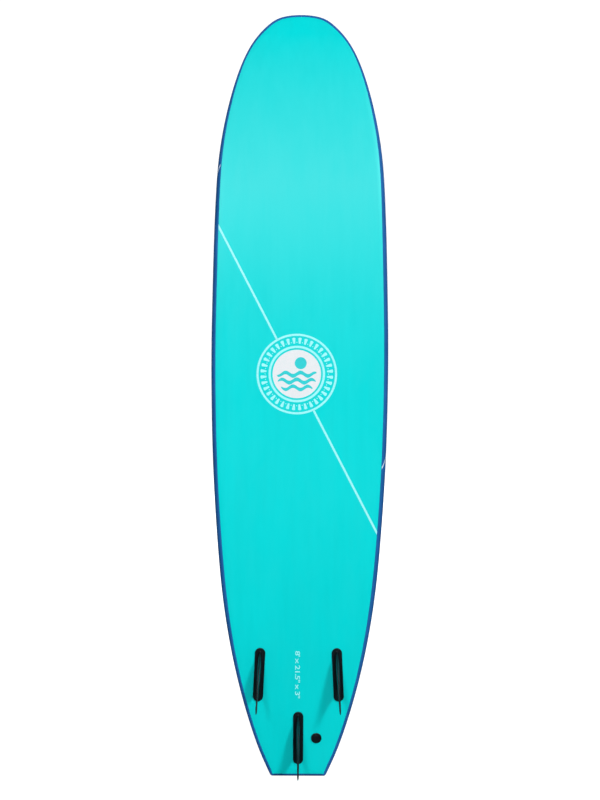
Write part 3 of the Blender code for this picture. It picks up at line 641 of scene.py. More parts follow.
def rounded(points, radius, steps=4):
    """A turned profile with its corners rounded, apart from its ends and those on the axis."""
    out = []
    for i, p in enumerate(points):
        if p[0] == 0 or i in (0, len(points) - 1):
            out.append(p)
            continue
        a, b, c = (np.array(q, float) for q in (points[i - 1], p, points[i + 1]))
        len_a, len_c = np.linalg.norm(a - b), np.linalg.norm(c - b)
        r = min(radius, len_a * 0.45, len_c * 0.45)
        to_a, to_c = (a - b) / len_a, (c - b) / len_c
        for k in range(steps + 1):
            t = k / steps
            q = (b + to_a * r) * (1 - t) ** 2 + b * 2 * t * (1 - t) + (b + to_c * r) * t * t
            out.append((float(q[0]), float(q[1])))
    return out


def hexagon(corner_r):
    return lambda a: corner_r * math.cos(math.pi / 6) / math.cos((a % (math.pi / 3)) - math.pi / 6)


def fluted(radius, depth, count, power):
    return lambda a: radius - depth * (0.5 - 0.5 * math.cos(count * a)) ** power


def threaded(radius, depth, height, hand):
    """Section of a thread at a height; hand is the sense in which it winds."""
    turn = 2 * math.pi * height / THREAD_PITCH
    return lambda a: radius - depth * (0.5 - 0.5 * math.cos(turn + hand * a))


# ---------------------------------------------------------------- hull grids
HULL, INWARD, SLICK_COL, WIDEST_COL, DECK_COL = hull_grid(
    outline(SIDE_STATIONS, ARC_POINTS, END_POINTS),
    flat=[i / 12 for i in range(13)],
    roll=7,
    low=[(k / 17) ** 1.5 for k in range(18)],
    high=[(k / 10) ** 1.7 for k in range(1, 10)] + [0.87, 0.925, 0.965, 1.0],
    deck=[(k / 26) ** 1.4 for k in range(1, 27)])


def grooved_hull():
    """The hull surface with grooves sunk beside the slick and deck seams."""
    out = HULL.copy()
    steps = np.linalg.norm(np.diff(HULL, axis=1), axis=2)
    run = np.concatenate([np.zeros((len(HULL), 1)), np.cumsum(steps, axis=1)], axis=1)
    for seam, deep, wide, cols in (
            (SLICK_COL, 0.0011, 0.0030, range(SLICK_COL, WIDEST_COL)),
            (DECK_COL, 0.0008, 0.0026, range(WIDEST_COL, DECK_COL + 1))):
        for k in cols:
            away = np.abs(run[:, k] - run[:, seam]) / wide
            sink = deep * np.clip(1 - away, 0, 1) ** 1.5
            out[:, k] = HULL[:, k] + INWARD[:, k] * sink[:, None]
    return out


GROOVED = grooved_hull()

# the CAD's own facets, to seat the fittings alike
COARSE, _, _, _, COARSE_DECK_COL = hull_grid(
    outline(22, 2, 2), flat=[0, 0.5, 1.0], roll=1, low=[0, 1 / 3, 2 / 3, 1.0],
    high=[(k / 3) ** 1.7 for k in (1, 2, 3)], deck=[1 / 3, 2 / 3, 1.0])


def tree_of(grid, first_col, last_col, sides=(1.0, -1.0)):
    """Search tree over some columns of a half hull, on one or both sides."""
    points, faces = [], []
    w = grid.shape[1]
    for side in sides:
        base = len(points)
        points += [(q[0] * side, q[1], q[2]) for row in grid for q in row]
        for i in range(grid.shape[0] - 1):
            for k in range(first_col, last_col):
                a, b = base + i * w + k, base + (i + 1) * w + k
                faces.append((a, b, b + 1, a + 1))
    return BVHTree.FromPolygons(points, faces)


BOTTOM_TREE = tree_of(HULL, 0, SLICK_COL)
DECK_TREE = tree_of(HULL, WIDEST_COL, HULL.shape[1] - 1)
COARSE_DECK_TREE = tree_of(COARSE, COARSE_DECK_COL, COARSE.shape[1] - 1, sides=(1.0,))


# ---------------------------------------------------------------- places of the fittings
def place(x, z, toe=0.0):
    """Frame on the bottom surface: X across, Y into the board, Z towards the nose."""
    slope = (rocker(z + 1e-4) - rocker(z - 1e-4)) / 2e-4
    into = Vector((0, 1, -slope)).normalized()
    nose = Vector((0, slope, 1)).normalized()
    nose = Matrix.Rotation(toe, 3, into) @ nose
    across = into.cross(nose)
    m = Matrix([list(c) for c in (across, into, nose)]).transposed().to_4x4()
    m.translation = Vector((x, rocker(z), z))
    return m


def depth_to_deck(m, point):
    way = Vector((m[0][1], m[1][1], m[2][1]))
    start = m @ Vector(point)
    start.x = abs(start.x)
    return COARSE_DECK_TREE.ray_cast(start, way)[3]


SINK = Matrix.Rotation(-math.pi / 2, 4, "X")    # turned pieces: Z points into the board
FINS = {
    "left": place(-FIN_SIDE[0], FIN_SIDE[1], FIN_SIDE[2]),
    "right": place(FIN_SIDE[0], FIN_SIDE[1], -FIN_SIDE[2]),
    "centre": place(0.0, FIN_CENTRE_Z)}
POSTS = {}                                      # (fin, end): axis frame, depth of washer seat
for side, fin_frame in FINS.items():
    for end, along in (("front", POST_PITCH / 2), ("rear", -POST_PITCH / 2)):
        seat = depth_to_deck(fin_frame, (0, 0, along)) - SEAT_DEPTH
        POSTS[side, end] = (fin_frame @ Matrix.Translation((0, 0, along)) @ SINK, seat)
LEASH_FRAME = place(LEASH_X, LEASH_Z)
LEASH_TOP = depth_to_deck(LEASH_FRAME, (0, 0, 0))
LEASH_AXIS = LEASH_FRAME @ SINK


# ---------------------------------------------------------------- slick and deck with holes
def hole_cutter():
    bm = bmesh.new()
    post_hole, seat_hole = POST_R + 0.0005, WASHER_R + 0.0004
    for axis, seat in POSTS.values():
        turned([(0, -0.02), (post_hole, -0.02), (post_hole, seat), (seat_hole, seat),
                (seat_hole, seat + 0.05), (0, seat + 0.05)], 56, bm, matrix=axis)
    top = LEASH_TOP
    turned([(0, -0.02), (0.0045, -0.02), (0.0045, 0.0052), (0.0064, 0.0052),
            (0.0064, top - 0.0184), (0.0134, top - 0.0184), (0.0134, top - 0.0031),
            (0.0164, top - 0.0031), (0.0164, top + 0.03), (0, top + 0.03)],
           56, bm, matrix=LEASH_AXIS)
    return linked("hole_cutter", finished("hole_cutter", bm))


def drill(ob, cutter):
    """Cuts the fitting holes and bakes the result into the mesh."""
    holes = ob.modifiers.new("holes", "BOOLEAN")
    holes.operation, holes.solver, holes.object = "DIFFERENCE", "EXACT", cutter
    dg = bpy.context.evaluated_depsgraph_get()
    me = bpy.data.meshes.new_from_object(ob.evaluated_get(dg))
    ob.modifiers.clear()
    ob.data = me
    me.name = ob.name
    smooth_shaded(me)


def sheet(cols, edge, neighbour, thick, rims):
    """A sheet of whole columns; its edge column draws back from the seam by half a gap."""
    outer = HULL[:, cols].copy()
    outer[:, edge] = pull(outer[:, edge], HULL[:, neighbour], GAP / 2)
    outer[0, :, 0] = outer[-1, :, 0] = 0.0
    return mirrored(shell(outer, outer + INWARD[:, cols] * thick, rims))


cutter = hole_cutter()
slick = sheet(slice(0, SLICK_COL + 1), -1, SLICK_COL - 1, SLICK_T, (False, False, False, True))
drill(piece("slick_bottom_sheet", slick, SLICK, replaces="bottom_slick"), cutter)
deck = sheet(slice(DECK_COL, None), 0, DECK_COL + 1, FOAM_T, (False, False, True, False))
drill(piece("deck_foam_sheet", deck, DECK, replaces="deck_skin"), cutter)
bpy.data.objects.remove(cutter, do_unlink=True)


# ---------------------------------------------------------------- rails and tail strip
def edge_skin(rows):
    """Outer and inner points of the foam between the slick seam and the deck seam."""
    cols = slice(SLICK_COL, DECK_COL + 1)
    outer = GROOVED[rows, cols].copy()
    outer[:, 0] = pull(outer[:, 0], GROOVED[rows, SLICK_COL + 1], GAP / 2)
    outer[:, -1] = pull(outer[:, -1], GROOVED[rows, DECK_COL - 1], GAP / 2)
    return outer, HULL[rows, cols] + INWARD[rows, cols] * FOAM_T


outer, inner = edge_skin(slice(0, LAST_SIDE + 1))
for skin in (outer, inner):
    skin[0, :, 0] = GAP / 2
    skin[-1, :, 0] += GAP / 2
for side, sign in (("right", 1.0), ("left", -1.0)):
    flip = np.array([sign, 1.0, 1.0])
    piece("rail_foam_" + side, shell(outer * flip, inner * flip, ALL_RIMS), RAIL,
          replaces="rail_" + side)

outer, inner = edge_skin(slice(LAST_SIDE, None))
for skin in (outer, inner):
    skin[0, :, 0] -= GAP / 2
    skin[-1, :, 0] = 0.0
# painted shade: the tail strip uses the darkened copy of the rail foam
piece("tail_foam_strip", mirrored(shell(outer, inner, (True, False, True, True))), TAIL_PAINTED_SHADE,
      replaces="tail_strip")

# ---------------------------------------------------------------- core, kept as CAD solids
for names, material in ((("core_left", "core_centre", "core_right"), BEADS),
                        (("stringer_left", "stringer_right"), PLY)):
    for name in names:
        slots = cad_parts[name].data.materials
        slots.clear()
        slots.append(material)

# ---------------------------------------------------------------- printed stripe on the slick
PROUD, SUNK = 0.00010, 0.00018                  # print above and below the surface
EMBLEM = np.array((-0.009, 1.263))              # centre of the roundel, (x, z)
STRIPE_UPPER, STRIPE_LOWER = np.array((-0.2504, 1.7138)), np.array((0.2403, 0.7736))
STRIPE_W = 0.0063
STRIPE_STOP_R = 0.1232                          # ends under the roundel's outer ring
EDGE_CLEAR = 0.0004


def bottom_at(x, z):
    """Y of the slick's surface."""
    hit = BOTTOM_TREE.ray_cast(Vector((x, -0.5, z)), Vector((0, 1, 0)))
    return hit[0].y if hit[0] else rocker(z) + EDGE_RISE


def outside_slick(x, z):
    seam = HULL[::-1, SLICK_COL]
    return abs(x) > float(np.interp(z, seam[:, 2], seam[:, 0])) - EDGE_CLEAR


def inside_ring(x, z):
    return math.hypot(x - EMBLEM[0], z - EMBLEM[1]) < STRIPE_STOP_R


def travel(origin, way, done):
    """Point along a line where done(x, z) turns true."""
    lo, hi = 0.0, 1.2
    for _ in range(50):
        mid = (lo + hi) / 2
        if done(*(origin + way * mid)):
            hi = mid
        else:
            lo = mid
    return origin + way * hi


def ribbon(starts, ends, count):
    """A thin band on the bottom between matching start and end points of its long lines."""
    top, low = [], []
    for i in range(count + 1):
        t = i / count
        row = [(x0 + (x1 - x0) * t, z0 + (z1 - z0) * t)
               for (x0, z0), (x1, z1) in zip(starts, ends)]
        row = [(x, bottom_at(x, z), z) for x, z in row]
        top.append([(x, y - PROUD, z) for x, y, z in row])
        low.append([(x, y + SUNK, z) for x, y, z in row])
    return shell(np.array(top), np.array(low), ALL_RIMS)


stripe_way = (STRIPE_LOWER - STRIPE_UPPER) / np.linalg.norm(STRIPE_LOWER - STRIPE_UPPER)
stripe_side = np.array((-stripe_way[1], stripe_way[0]))
stripe_mid = EMBLEM + stripe_side * float(np.dot(STRIPE_UPPER - EMBLEM, stripe_side))
for tag, way in (("upper", -stripe_way), ("lower", stripe_way)):
    starts, ends = [], []
    for f in (-0.5, -0.25, 0.0, 0.25, 0.5):
        far = travel(stripe_mid + stripe_side * STRIPE_W * f, way, outside_slick)
        starts.append(travel(far, -way, inside_ring))
        ends.append(far)
    piece("print_stripe_" + tag, ribbon(starts, ends, 90), INK)

# ---------------------------------------------------------------- printed roundel
OUTER_RING, INNER_RING = (0.1176, 0.1240), (0.0800, 0.0870)  # inner and outer radius
RAYS = 36
# half of one sun ray: (radius, degrees from its middle); the last point is the tip
RAY = [(0.0935, 1.5), (0.1105, 2.7), (0.1125, 0)]
BEAD_AT_R, BEAD_R = 0.0975, 0.0016
DISC_R = 0.0745
SUN_OFFSET, SUN_R = (0.012, 0.0335), 0.0185
TEAL_PROUD = 0.0002                             # the teal print lies over the disc
SWELLS = [(-0.0005, 0.0115), (-0.0215, 0.0115), (-0.0425, 0.0105)]  # (height, thickness)
SWELL_RISE, SWELL_LENGTH, SWELL_SHIFT = 0.0052, 0.046, 0.0115


def flat_plate(bm, polygon, proud=PROUD):
    """A flat printed shape on the level middle of the bottom, from (x, z) points."""
    a = [bm.verts.new((x, BOTTOM_Y - proud, z)) for x, z in polygon]
    b = [bm.verts.new((x, BOTTOM_Y + SUNK, z)) for x, z in polygon]
    bm.faces.new(a)
    bm.faces.new(b[::-1])
    for i in range(len(a)):
        j = (i + 1) % len(a)
        bm.faces.new((a[i], b[i], b[j], a[j]))


def circle(x, z, r, count):
    return [(x + r * math.cos(t), z + r * math.sin(t))
            for t in np.linspace(0, 2 * math.pi, count, False)]


def polar(r, deg):
    """Point about the roundel's centre."""
    a = math.radians(deg)
    return EMBLEM[0] + r * math.cos(a), EMBLEM[1] + r * math.sin(a)


def flat_ring(bm, r0, r1, steps=144):
    front, back = BOTTOM_Y - PROUD, BOTTOM_Y + SUNK
    loops = []
    for r, y in ((r0, front), (r1, front), (r1, back), (r0, back)):
        angles = [2 * math.pi * j / steps for j in range(steps)]
        loops.append([bm.verts.new((EMBLEM[0] + r * math.cos(a), y, EMBLEM[1] + r * math.sin(a)))
                      for a in angles])
    bridge(bm, loops, closed=True)


def roundel_rings():
    """Two rings, with sun rays between them and a bead between each two rays."""
    bm = bmesh.new()
    flat_ring(bm, *OUTER_RING)
    flat_ring(bm, *INNER_RING)
    (foot_r, foot), (shoulder_r, shoulder), (tip_r, _) = RAY
    for k in range(RAYS):
        a = 10 * k + 5
        flat_plate(bm, [polar(foot_r, a - foot), polar(foot_r, a + foot),
                        polar(shoulder_r, a + shoulder), polar(tip_r, a),
                        polar(shoulder_r, a - shoulder)])
        flat_plate(bm, circle(*polar(BEAD_AT_R, a + 5), BEAD_R, 12))
    return bm


def roundel_disc():
    bm = bmesh.new()
    flat_plate(bm, [polar(DISC_R, a) for a in np.linspace(0, 360, 144, False)])
    return bm


def roundel_swell():
    """A sun over three rolling swells."""
    bm = bmesh.new()
    flat_plate(bm, circle(EMBLEM[0] + SUN_OFFSET[0], EMBLEM[1] + SUN_OFFSET[1], SUN_R, 64),
               TEAL_PROUD)
    for row, (base, thick) in enumerate(SWELLS):
        span = math.sqrt(0.0655 ** 2 - (base + 0.004) ** 2) - 0.004
        up, down = [], []
        for x in np.linspace(-span, span, 60):
            phase = (x + SWELL_SHIFT * row) * 2 * math.pi / SWELL_LENGTH
            z = EMBLEM[1] + (base + SWELL_RISE * math.sin(phase))
            half = thick * math.sqrt(max(0.0, 1 - (abs(x) / span) ** 4)) * 0.5 + 0.0004
            up.append((EMBLEM[0] + x, z + half))
            down.append((EMBLEM[0] + x, z - half))
        flat_plate(bm, up + down[::-1], TEAL_PROUD)
    return bm


piece("print_roundel_rings", roundel_rings(), INK)
piece("print_roundel_disc", roundel_disc(), INK_DISC)
piece("print_roundel_swell", roundel_swell(), INK_TEAL)

# ---------------------------------------------------------------- size in figures
FIGURES_TOP, FIGURES_L = 0.4050, 0.1505         # upper end and length along the board
FIGURES_X, FIGURES_H = -0.0096, 0.0148          # base line, and height of the figures along X


def size_figures():
    """The size in figures, reading down the board and wrapped onto the bottom."""
    text = bpy.data.curves.new("size_figures", "FONT")
    text.body = "8' x 21.5\" x 3\""
    text.size = 0.02
    text.extrude = 0.0001
    text.offset = 0.00015
    text.space_word = 1.05
    text.space_character = 0.86
    text.resolution_u = 5
    holder = linked("size_figures", text)
    bpy.context.view_layer.update()
    dg = bpy.context.evaluated_depsgraph_get()
    me = bpy.data.meshes.new_from_object(holder.evaluated_get(dg))
    bpy.data.objects.remove(holder, do_unlink=True)
    co = np.array([v.co for v in me.vertices], float)
    x_lo, x_hi = co[:, 0].min(), co[:, 0].max()
    y_hi = co[:, 1].max()
    for v in me.vertices:
        z = FIGURES_TOP - (v.co.x - x_lo) / (x_hi - x_lo) * FIGURES_L
        x = FIGURES_X + v.co.y / y_hi * FIGURES_H
        v.co = (x, bottom_at(x, z) + (PROUD if v.co.z < 0 else -PROUD), z)
    me.flip_normals()
    bm = bmesh.new()
    bm.from_mesh(me)
    bmesh.ops.remove_doubles(bm, verts=bm.verts[:], dist=1e-7)
    return bm


piece("print_size_figures", size_figures(), INK)

# ---------------------------------------------------------------- stripe over deck and rails
BAND_LEFT_Z, BAND_RIGHT_Z = 1.8510, 1.0470      # height where it crosses each widest line
BAND_LEFT_REACH, BAND_RIGHT_REACH = 0.0112, 0.0138  # how far in it runs below the widest line
BAND_LINES = np.linspace(-0.0070, 0.0070, 5)    # the stripe's long lines, across its width


def column_at(col, z, side):
    """Point of a grooved hull column at a height."""
    xs, ys, zs = GROOVED[::-1, col].T
    return np.array((side * np.interp(z, zs, xs), np.interp(z, zs, ys), z))


def round_rail(z0):
    """For every column round the rail: distance round it from the widest line, below zero
    under it, and distance in from the widest line's x."""
    cols = range(SLICK_COL, DECK_COL + 1)
    pts = np.array([column_at(k, z0, 1.0) for k in cols])
    steps = np.linalg.norm(np.diff(pts, axis=0), axis=1)
    run = np.concatenate([[0.0], np.cumsum(steps)])
    widest = WIDEST_COL - SLICK_COL
    return dict(zip(cols, run - run[widest])), dict(zip(cols, pts[widest][0] - pts[:, 0]))


def rail_part(side, z0, span, inset, reach, rise):
    """Stations round one rail, from the slick side over the widest line to the deck seam."""
    out = []
    low_cols = [k for k in range(SLICK_COL + 1, WIDEST_COL) if inset[k] < reach]
    for k in low_cols + list(range(WIDEST_COL, DECK_COL + 1)):
        under = k < WIDEST_COL                  # the print narrows and leans more under the rail
        thin = 1 - 0.45 * smooth(-span[k] / 0.016) if under else 1.0
        lean = rise * (1.3 if under else 1.0)
        out.append([column_at(k, z0 + side * lean * span[k] + w * thin, side)
                    for w in BAND_LINES])
    return out


def deck_stripe():
    span_r, inset_r = round_rail(BAND_RIGHT_Z)
    span_l, inset_l = round_rail(BAND_LEFT_Z)
    across = (column_at(DECK_COL, BAND_RIGHT_Z + 0.05, 1.0)[0]
              + column_at(DECK_COL, BAND_LEFT_Z - 0.05, 1.0)[0])
    # height gained per metre of strip
    rise = (BAND_LEFT_Z - BAND_RIGHT_Z) / (across + span_r[DECK_COL] + span_l[DECK_COL])
    right = rail_part(1.0, BAND_RIGHT_Z, span_r, inset_r, BAND_RIGHT_REACH, rise)
    left = rail_part(-1.0, BAND_LEFT_Z, span_l, inset_l, BAND_LEFT_REACH, rise)
    middle = []
    start, stop = right[-1][2], left[-1][2]
    near = np.array([0.0008, 0.0016, 0.0026, 0.0038]) / across   # stations close to the seams
    for t in np.concatenate([near, np.linspace(0.0100, 0.9900, 117), 1 - near[::-1]]):
        row = []
        for w in BAND_LINES:
            x, z = start[0] + (stop[0] - start[0]) * t, start[2] + (stop[2] - start[2]) * t + w
            hit = DECK_TREE.ray_cast(Vector((x, 0.6, z)), Vector((0, -1, 0)))[0]
            row.append(np.array(hit))
        middle.append(row)
    path = np.array(right + middle + left[::-1])
    rows = np.concatenate([path[:1], path, path[-1:]])
    cols = np.concatenate([path[:, :1], path, path[:, -1:]], axis=1)
    normal = np.cross(rows[2:] - rows[:-2], cols[:, 2:] - cols[:, :-2])
    normal /= np.linalg.norm(normal, axis=2, keepdims=True)
    if normal[len(path) // 2, 2, 1] < 0:
        normal = -normal
    return shell(path + normal * 0.00014, path - normal * 0.0004, ALL_RIMS)


piece("print_deck_stripe", deck_stripe(), INK_DECK)

# ---------------------------------------------------------------- fins
PLATE_TOP = PLATE_T + GAP                       # height of the plate's outer face
PLATE_EDGE_R = 0.0014
ROOT_LEAD, ROOT_TRAIL = 0.070, -0.058           # z of the blade's edges at its root
LEAD_RAKE, TRAIL_RAKE = 0.148, 0.0285           # how far each edge sweeps aft at the tip
BLADE_T, BLADE_TAPER = 0.0100, 0.52
TIP_FROM, TIP_SHARE = 0.955, 0.045              # the tip rounds off over the last of the span
FILLET_R = 0.0042                               # between blade and plate


def stadium(inset, count=20):
    """Outline of the plate, (x, z), drawn in by an inset."""
    r = PLATE_W / 2 - inset
    far = PLATE_L / 2 - PLATE_W / 2
    pts = []
    for sign in (1, -1):
        for k in range(count + 1):
            a = math.pi * k / count + (0 if sign > 0 else math.pi)
            pts.append((r * math.cos(a), sign * far + r * math.sin(a) - PLATE_AFT))
        for k in range(1, 10):
            pts.append((-sign * r, sign * far - sign * 2 * far * k / 10 - PLATE_AFT))
    return pts


def fin_plate(bm):
    levels = [(0.0004, -GAP), (0.0, -GAP - 0.0004)]          # (inset, y)
    for k in range(7):
        a = math.pi / 2 * k / 6
        levels.append((PLATE_EDGE_R * (1 - math.cos(a)),
                       -(PLATE_TOP - PLATE_EDGE_R + PLATE_EDGE_R * math.sin(a))))
    for inset in (0.003, 0.005, 0.0075, 0.010, 0.0125):
        crown = 0.0003 * smooth((inset - PLATE_EDGE_R) / 0.010)
        levels.append((inset, -PLATE_TOP - crown))
    bridge(bm, [[bm.verts.new((x, y, z)) for x, z in stadium(inset)] for inset, y in levels])


def blade_section(share, y):
    """Closed foil section at a share of the span."""
    lead = ROOT_LEAD - LEAD_RAKE * share ** 1.9
    trail = ROOT_TRAIL - TRAIL_RAKE * share ** 2.2
    thick = BLADE_T * (1 - BLADE_TAPER * share)
    height, r = -y - PLATE_TOP, FILLET_R
    flare = 0.0
    if height < r:
        flare = r - math.sqrt(max(0.0, r * r - (r - min(max(height, 0.0), r)) ** 2))
    if share > TIP_FROM:
        q = math.sqrt(max(0.0, 1 - ((share - TIP_FROM) / TIP_SHARE) ** 2))
        mid = (lead + trail) / 2 - 0.0012 * (1 - q)
        half = (lead - trail) / 2 * (0.12 + 0.88 * q)
        lead, trail = mid + half, mid - half
        thick *= 0.15 + 0.85 * q
    lead, trail = lead + flare * 0.9, trail - flare * 0.9
    side = []
    for k in range(23):
        c = 0.5 * (1 - math.cos(math.pi * k / 22))           # share of the chord
        foil = 5 * (0.2969 * math.sqrt(c) - 0.126 * c - 0.3516 * c ** 2 + 0.2843 * c ** 3
                    - 0.1036 * c ** 4)
        round_end = math.sqrt(max(0.0, 1 - (2 * c - 1) ** 8))
        root = flare * math.sqrt(max(0.0, 1 - (2 * c - 1) ** 4))
        side.append((thick * foil + 0.0005 * c * round_end + root, lead + (trail - lead) * c))
    return [(x, y, z) for x, z in side] + [(-x, y, z) for x, z in reversed(side[1:-1])]


def fin_blade(bm):
    y_root, y_tip = -PLATE_T * 0.6, -FIN_H
    span = y_root - y_tip
    shares = [0.0] + [(0.0020 + 0.0007 * k) / span for k in range(9)]
    shares += list(np.linspace(shares[-1] + 0.03, TIP_FROM, 24))
    shares += [TIP_FROM + TIP_SHARE * math.sin(math.pi / 2 * k / 8) for k in range(1, 9)]
    bridge(bm, [[bm.verts.new(q) for q in blade_section(s, y_root - span * s)] for s in shares])


def gate_mark(bm):
    """Mark left by the mould, near the plate's front end."""
    at = Matrix.Translation((0, -PLATE_TOP, PLATE_L / 2 - PLATE_AFT - 0.0105))
    turned([(0, 0.0005), (0.0012, 0.00045), (0.0018, 0.0001), (0.0024, 0.0001),
            (0.0029, 0.0006), (0.0034, 0.0006), (0.0039, -0.0002), (0, -0.0003)],
           32, bm, matrix=at @ Matrix.Rotation(math.pi / 2, 4, "X"))


def fin_post(bm, stop, local):
    """Ribbed post up to its stop, with a thinner core that reaches back down it."""
    ribs = fluted(POST_R, depth=0.00035, count=8, power=3)
    turned([(0, stop - 0.0152), (0.0045, stop - 0.0152), (0.0045, stop - 0.0004),
            (0.0049, stop), (0.0072, stop), (0.0077, stop - 0.0005), (POST_R, stop - 0.0016),
            (POST_R, stop - 0.004, ribs), (POST_R, 0.004, ribs), (POST_R, 0.002),
            (POST_R, -0.0025), (0, -0.0025)], 48, bm, matrix=local)


def brass_insert(stop):
    """Grooved sleeve in the end of a post."""
    profile = [(0.0028, stop - 0.0147), (0.0028, stop - 0.0003), (0.0042, stop - 0.0003),
               (0.0042, stop - 0.0040), (0.0039, stop - 0.0044), (0.0039, stop - 0.0052),
               (0.0042, stop - 0.0056), (0.0042, stop - 0.0147)]
    return turned(rounded(profile, 0.0002, 2), 40, closed=True)


for side, fin_frame in FINS.items():
    fin = bmesh.new()
    fin_plate(fin)
    fin_blade(fin)
    gate_mark(fin)
    for end in ("front", "rear"):
        axis, seat = POSTS[side, end]
        stop = seat - SCREW_REACH
        fin_post(fin, stop, fin_frame.inverted() @ axis)
        name = f"insert_{side}_{end}"
        piece("brass_" + name, brass_insert(stop), BRASS, "fin_" + side, axis, name)
    piece(f"fin_moulding_{side}", fin, BLACK, "fin_" + side, fin_frame,
          "fin_" + side, angle=40)


# ---------------------------------------------------------------- deck screws and cup washers
def cup_washer():
    profile = [(0.0034, 0.0003), (0.0034, 0.0032), (0.0103, 0.0032), (0.0106, 0.0075),
               (0.0122, 0.0075), (WASHER_R, 0.0064), (WASHER_R, 0.0003)]
    return turned(rounded(profile, 0.0005, 3), 72, closed=True)


def deck_screw():
    """Hexagon socket, low head and a shank whose thread deepens from the head down."""
    socket = [(0, 0.0044), (0.0023, 0.0045, hexagon(0.0025)), (0.0026, 0.0047, hexagon(0.0026)),
              (0.0026, 0.0064, hexagon(0.0026)), (0.0029, 0.0068, hexagon(0.0030))]
    head = [(0.0042, 0.0068), (0.0062, 0.0068), (0.0080, 0.00675), (0.0090, 0.0065),
            (0.0096, 0.0060), (0.0098, 0.0053), (0.0098, 0.0040), (0.0095, 0.0036),
            (0.0090, 0.0035), (0.0030, 0.0035)]
    shank_r = 0.0025
    shank = []
    for h in np.arange(0.0030, -0.0237, -0.00025):
        depth = 0.00032 * min(1.0, max(0.0, (-h - 0.001) / 0.002))
        shank.append((shank_r, h, threaded(shank_r, depth, h, hand=-1)))
    return turned(socket + head + shank + [(0.0016, -0.0248), (0, -0.0248)], 36)


for (side, end), (axis, seat) in POSTS.items():
    tag = f"{side}_{end}"
    at_seat = axis @ Matrix.Translation((0, 0, seat))
    piece("cup_washer_" + tag, cup_washer(), BLACK_FITTING, "washer_" + tag,
          at_seat, "washer_" + tag)
    piece("deck_screw_" + tag, deck_screw(), STEEL, "screw_" + tag,
          at_seat, "screw_" + tag, angle=38)


# ---------------------------------------------------------------- leash plug
def leash_cup(top):
    profile = [(0, top - 0.013), (0.0105, top - 0.013), (0.0108, top + 0.0002),
               (0.0145, top + 0.0002), (0.016, top - 0.0008), (0.016, top - 0.0027),
               (0.013, top - 0.0027), (0.013, top - 0.018), (0.006, top - 0.018),
               (0.006, 0.006), (0.004, 0.006), (0.004, top - 0.020), (0, top - 0.020)]
    return turned(rounded(profile, 0.0006, 4), 80)


def leash_pin():
    return turned([(0, -0.0118), (0.0014, -0.0118), (0.0018, -0.0114), (0.0018, 0.0114),
                   (0.0014, 0.0118), (0, 0.0118)], 40)


def leash_seal():
    profile = [(0.0048, -0.0013), (0.0048, -0.0003), (0.0135, -0.0003), (0.0135, -0.0013)]
    return turned(rounded(profile, 0.0004, 3), 72, closed=True)


def leash_cap(top):
    """Threaded stem with a fluted cap on the bottom of the board."""
    grip = fluted(CAP_R, depth=0.00028, count=36, power=2)
    stem_r = 0.0036
    tip = [(0, top - 0.0215), (0.003, top - 0.0215), (stem_r, top - 0.0225)]
    stem = [(stem_r, h, threaded(stem_r, 0.00035, h, hand=1))
            for h in np.arange(top - 0.0230, -0.0010, -0.0003)]
    cap = [(stem_r, -0.0016), (0.0150, -0.0016), (CAP_R - 0.0004, -0.0017),
           (CAP_R, -0.0021, grip), (CAP_R, -0.0031, grip), (CAP_R - 0.0003, -0.0036),
           (CAP_R - 0.0009, -0.0041), (CAP_R - 0.0018, -0.0045), (0.0120, -0.0048),
           (0.0112, -0.0048), (0.0108, -0.0046), (0.0103, -0.0046), (0.0099, -0.0049),
           (0.0060, -0.0051), (0, -0.0052)]
    return turned(tip + stem + cap, 144)


piece("leash_cup_moulding", leash_cup(LEASH_TOP), BLACK_FITTING,
      matrix=LEASH_AXIS, replaces="leash_cup")
pin_at = (LEASH_AXIS @ Matrix.Translation((0, 0, LEASH_TOP - 0.0048))
          @ Matrix.Rotation(math.pi / 2, 4, "Y"))
piece("leash_cross_pin", leash_pin(), STEEL, matrix=pin_at,
      replaces="leash_pin")
piece("leash_seal_ring", leash_seal(), RUBBER, "leash_seal", LEASH_AXIS,
      "leash_seal")
piece("leash_cap_moulding", leash_cap(LEASH_TOP), BLACK_FITTING, "leash_cap",
      LEASH_AXIS, "leash_cap", angle=38)


# ---------------------------------------------------------------- floor and world
def mix_shader(tree, factor, first, second):
    node = tree.nodes.new("ShaderNodeMixShader")
    for source, socket in zip((factor, first, second), node.inputs):
        tree.links.new(source, socket)
    return node.outputs[0]


def floor_white():
    """Grey to the light, glowing white to the camera with a painted contact shadow near the board,
    and black in reflections.
    """
    m = Material("studio_floor_white", rough=0.9, spec=0.0)
    m.finish(colour=(0.34, 0.34, 0.34))
    ray = m.add("ShaderNodeLightPath").outputs
    far = m.add("ShaderNodeVectorMath", operation="LENGTH")
    m.wire(m.coord, far.inputs[0])
    # painted shadow: the glow is dimmer near the board, as a faint contact shadow, and brighter away
    # from it
    glow_with_painted_shadow = m.remap(far.outputs["Value"], (0.3, 2.5), to=(0.90, 1.1))
    glow = m.add("ShaderNodeEmission")
    m.wire(glow_with_painted_shadow, glow.inputs["Strength"])
    dark = m.add("ShaderNodeEmission")
    dark.inputs["Strength"].default_value = 0.0
    seen = mix_shader(m.tree, ray["Is Camera Ray"], dark.outputs[0], glow.outputs[0])
    both = m.add("ShaderNodeAddShader")
    m.wire(m.shader.outputs[0], both.inputs[0])
    m.wire(seen, both.inputs[1])
    calm = mix_shader(m.tree, ray["Is Glossy Ray"], both.outputs[0], dark.outputs[0])
    m.wire(calm, m.tree.nodes["Material Output"].inputs["Surface"])
    return m.mat


bm = bmesh.new()
bmesh.ops.create_circle(bm, cap_ends=True, segments=96, radius=45.0)
for v in bm.verts:
    v.co.z = -0.0006                            # just below the tail
floor = linked("studio_floor", finished("studio_floor", bm))
floor.data.materials.append(floor_white())


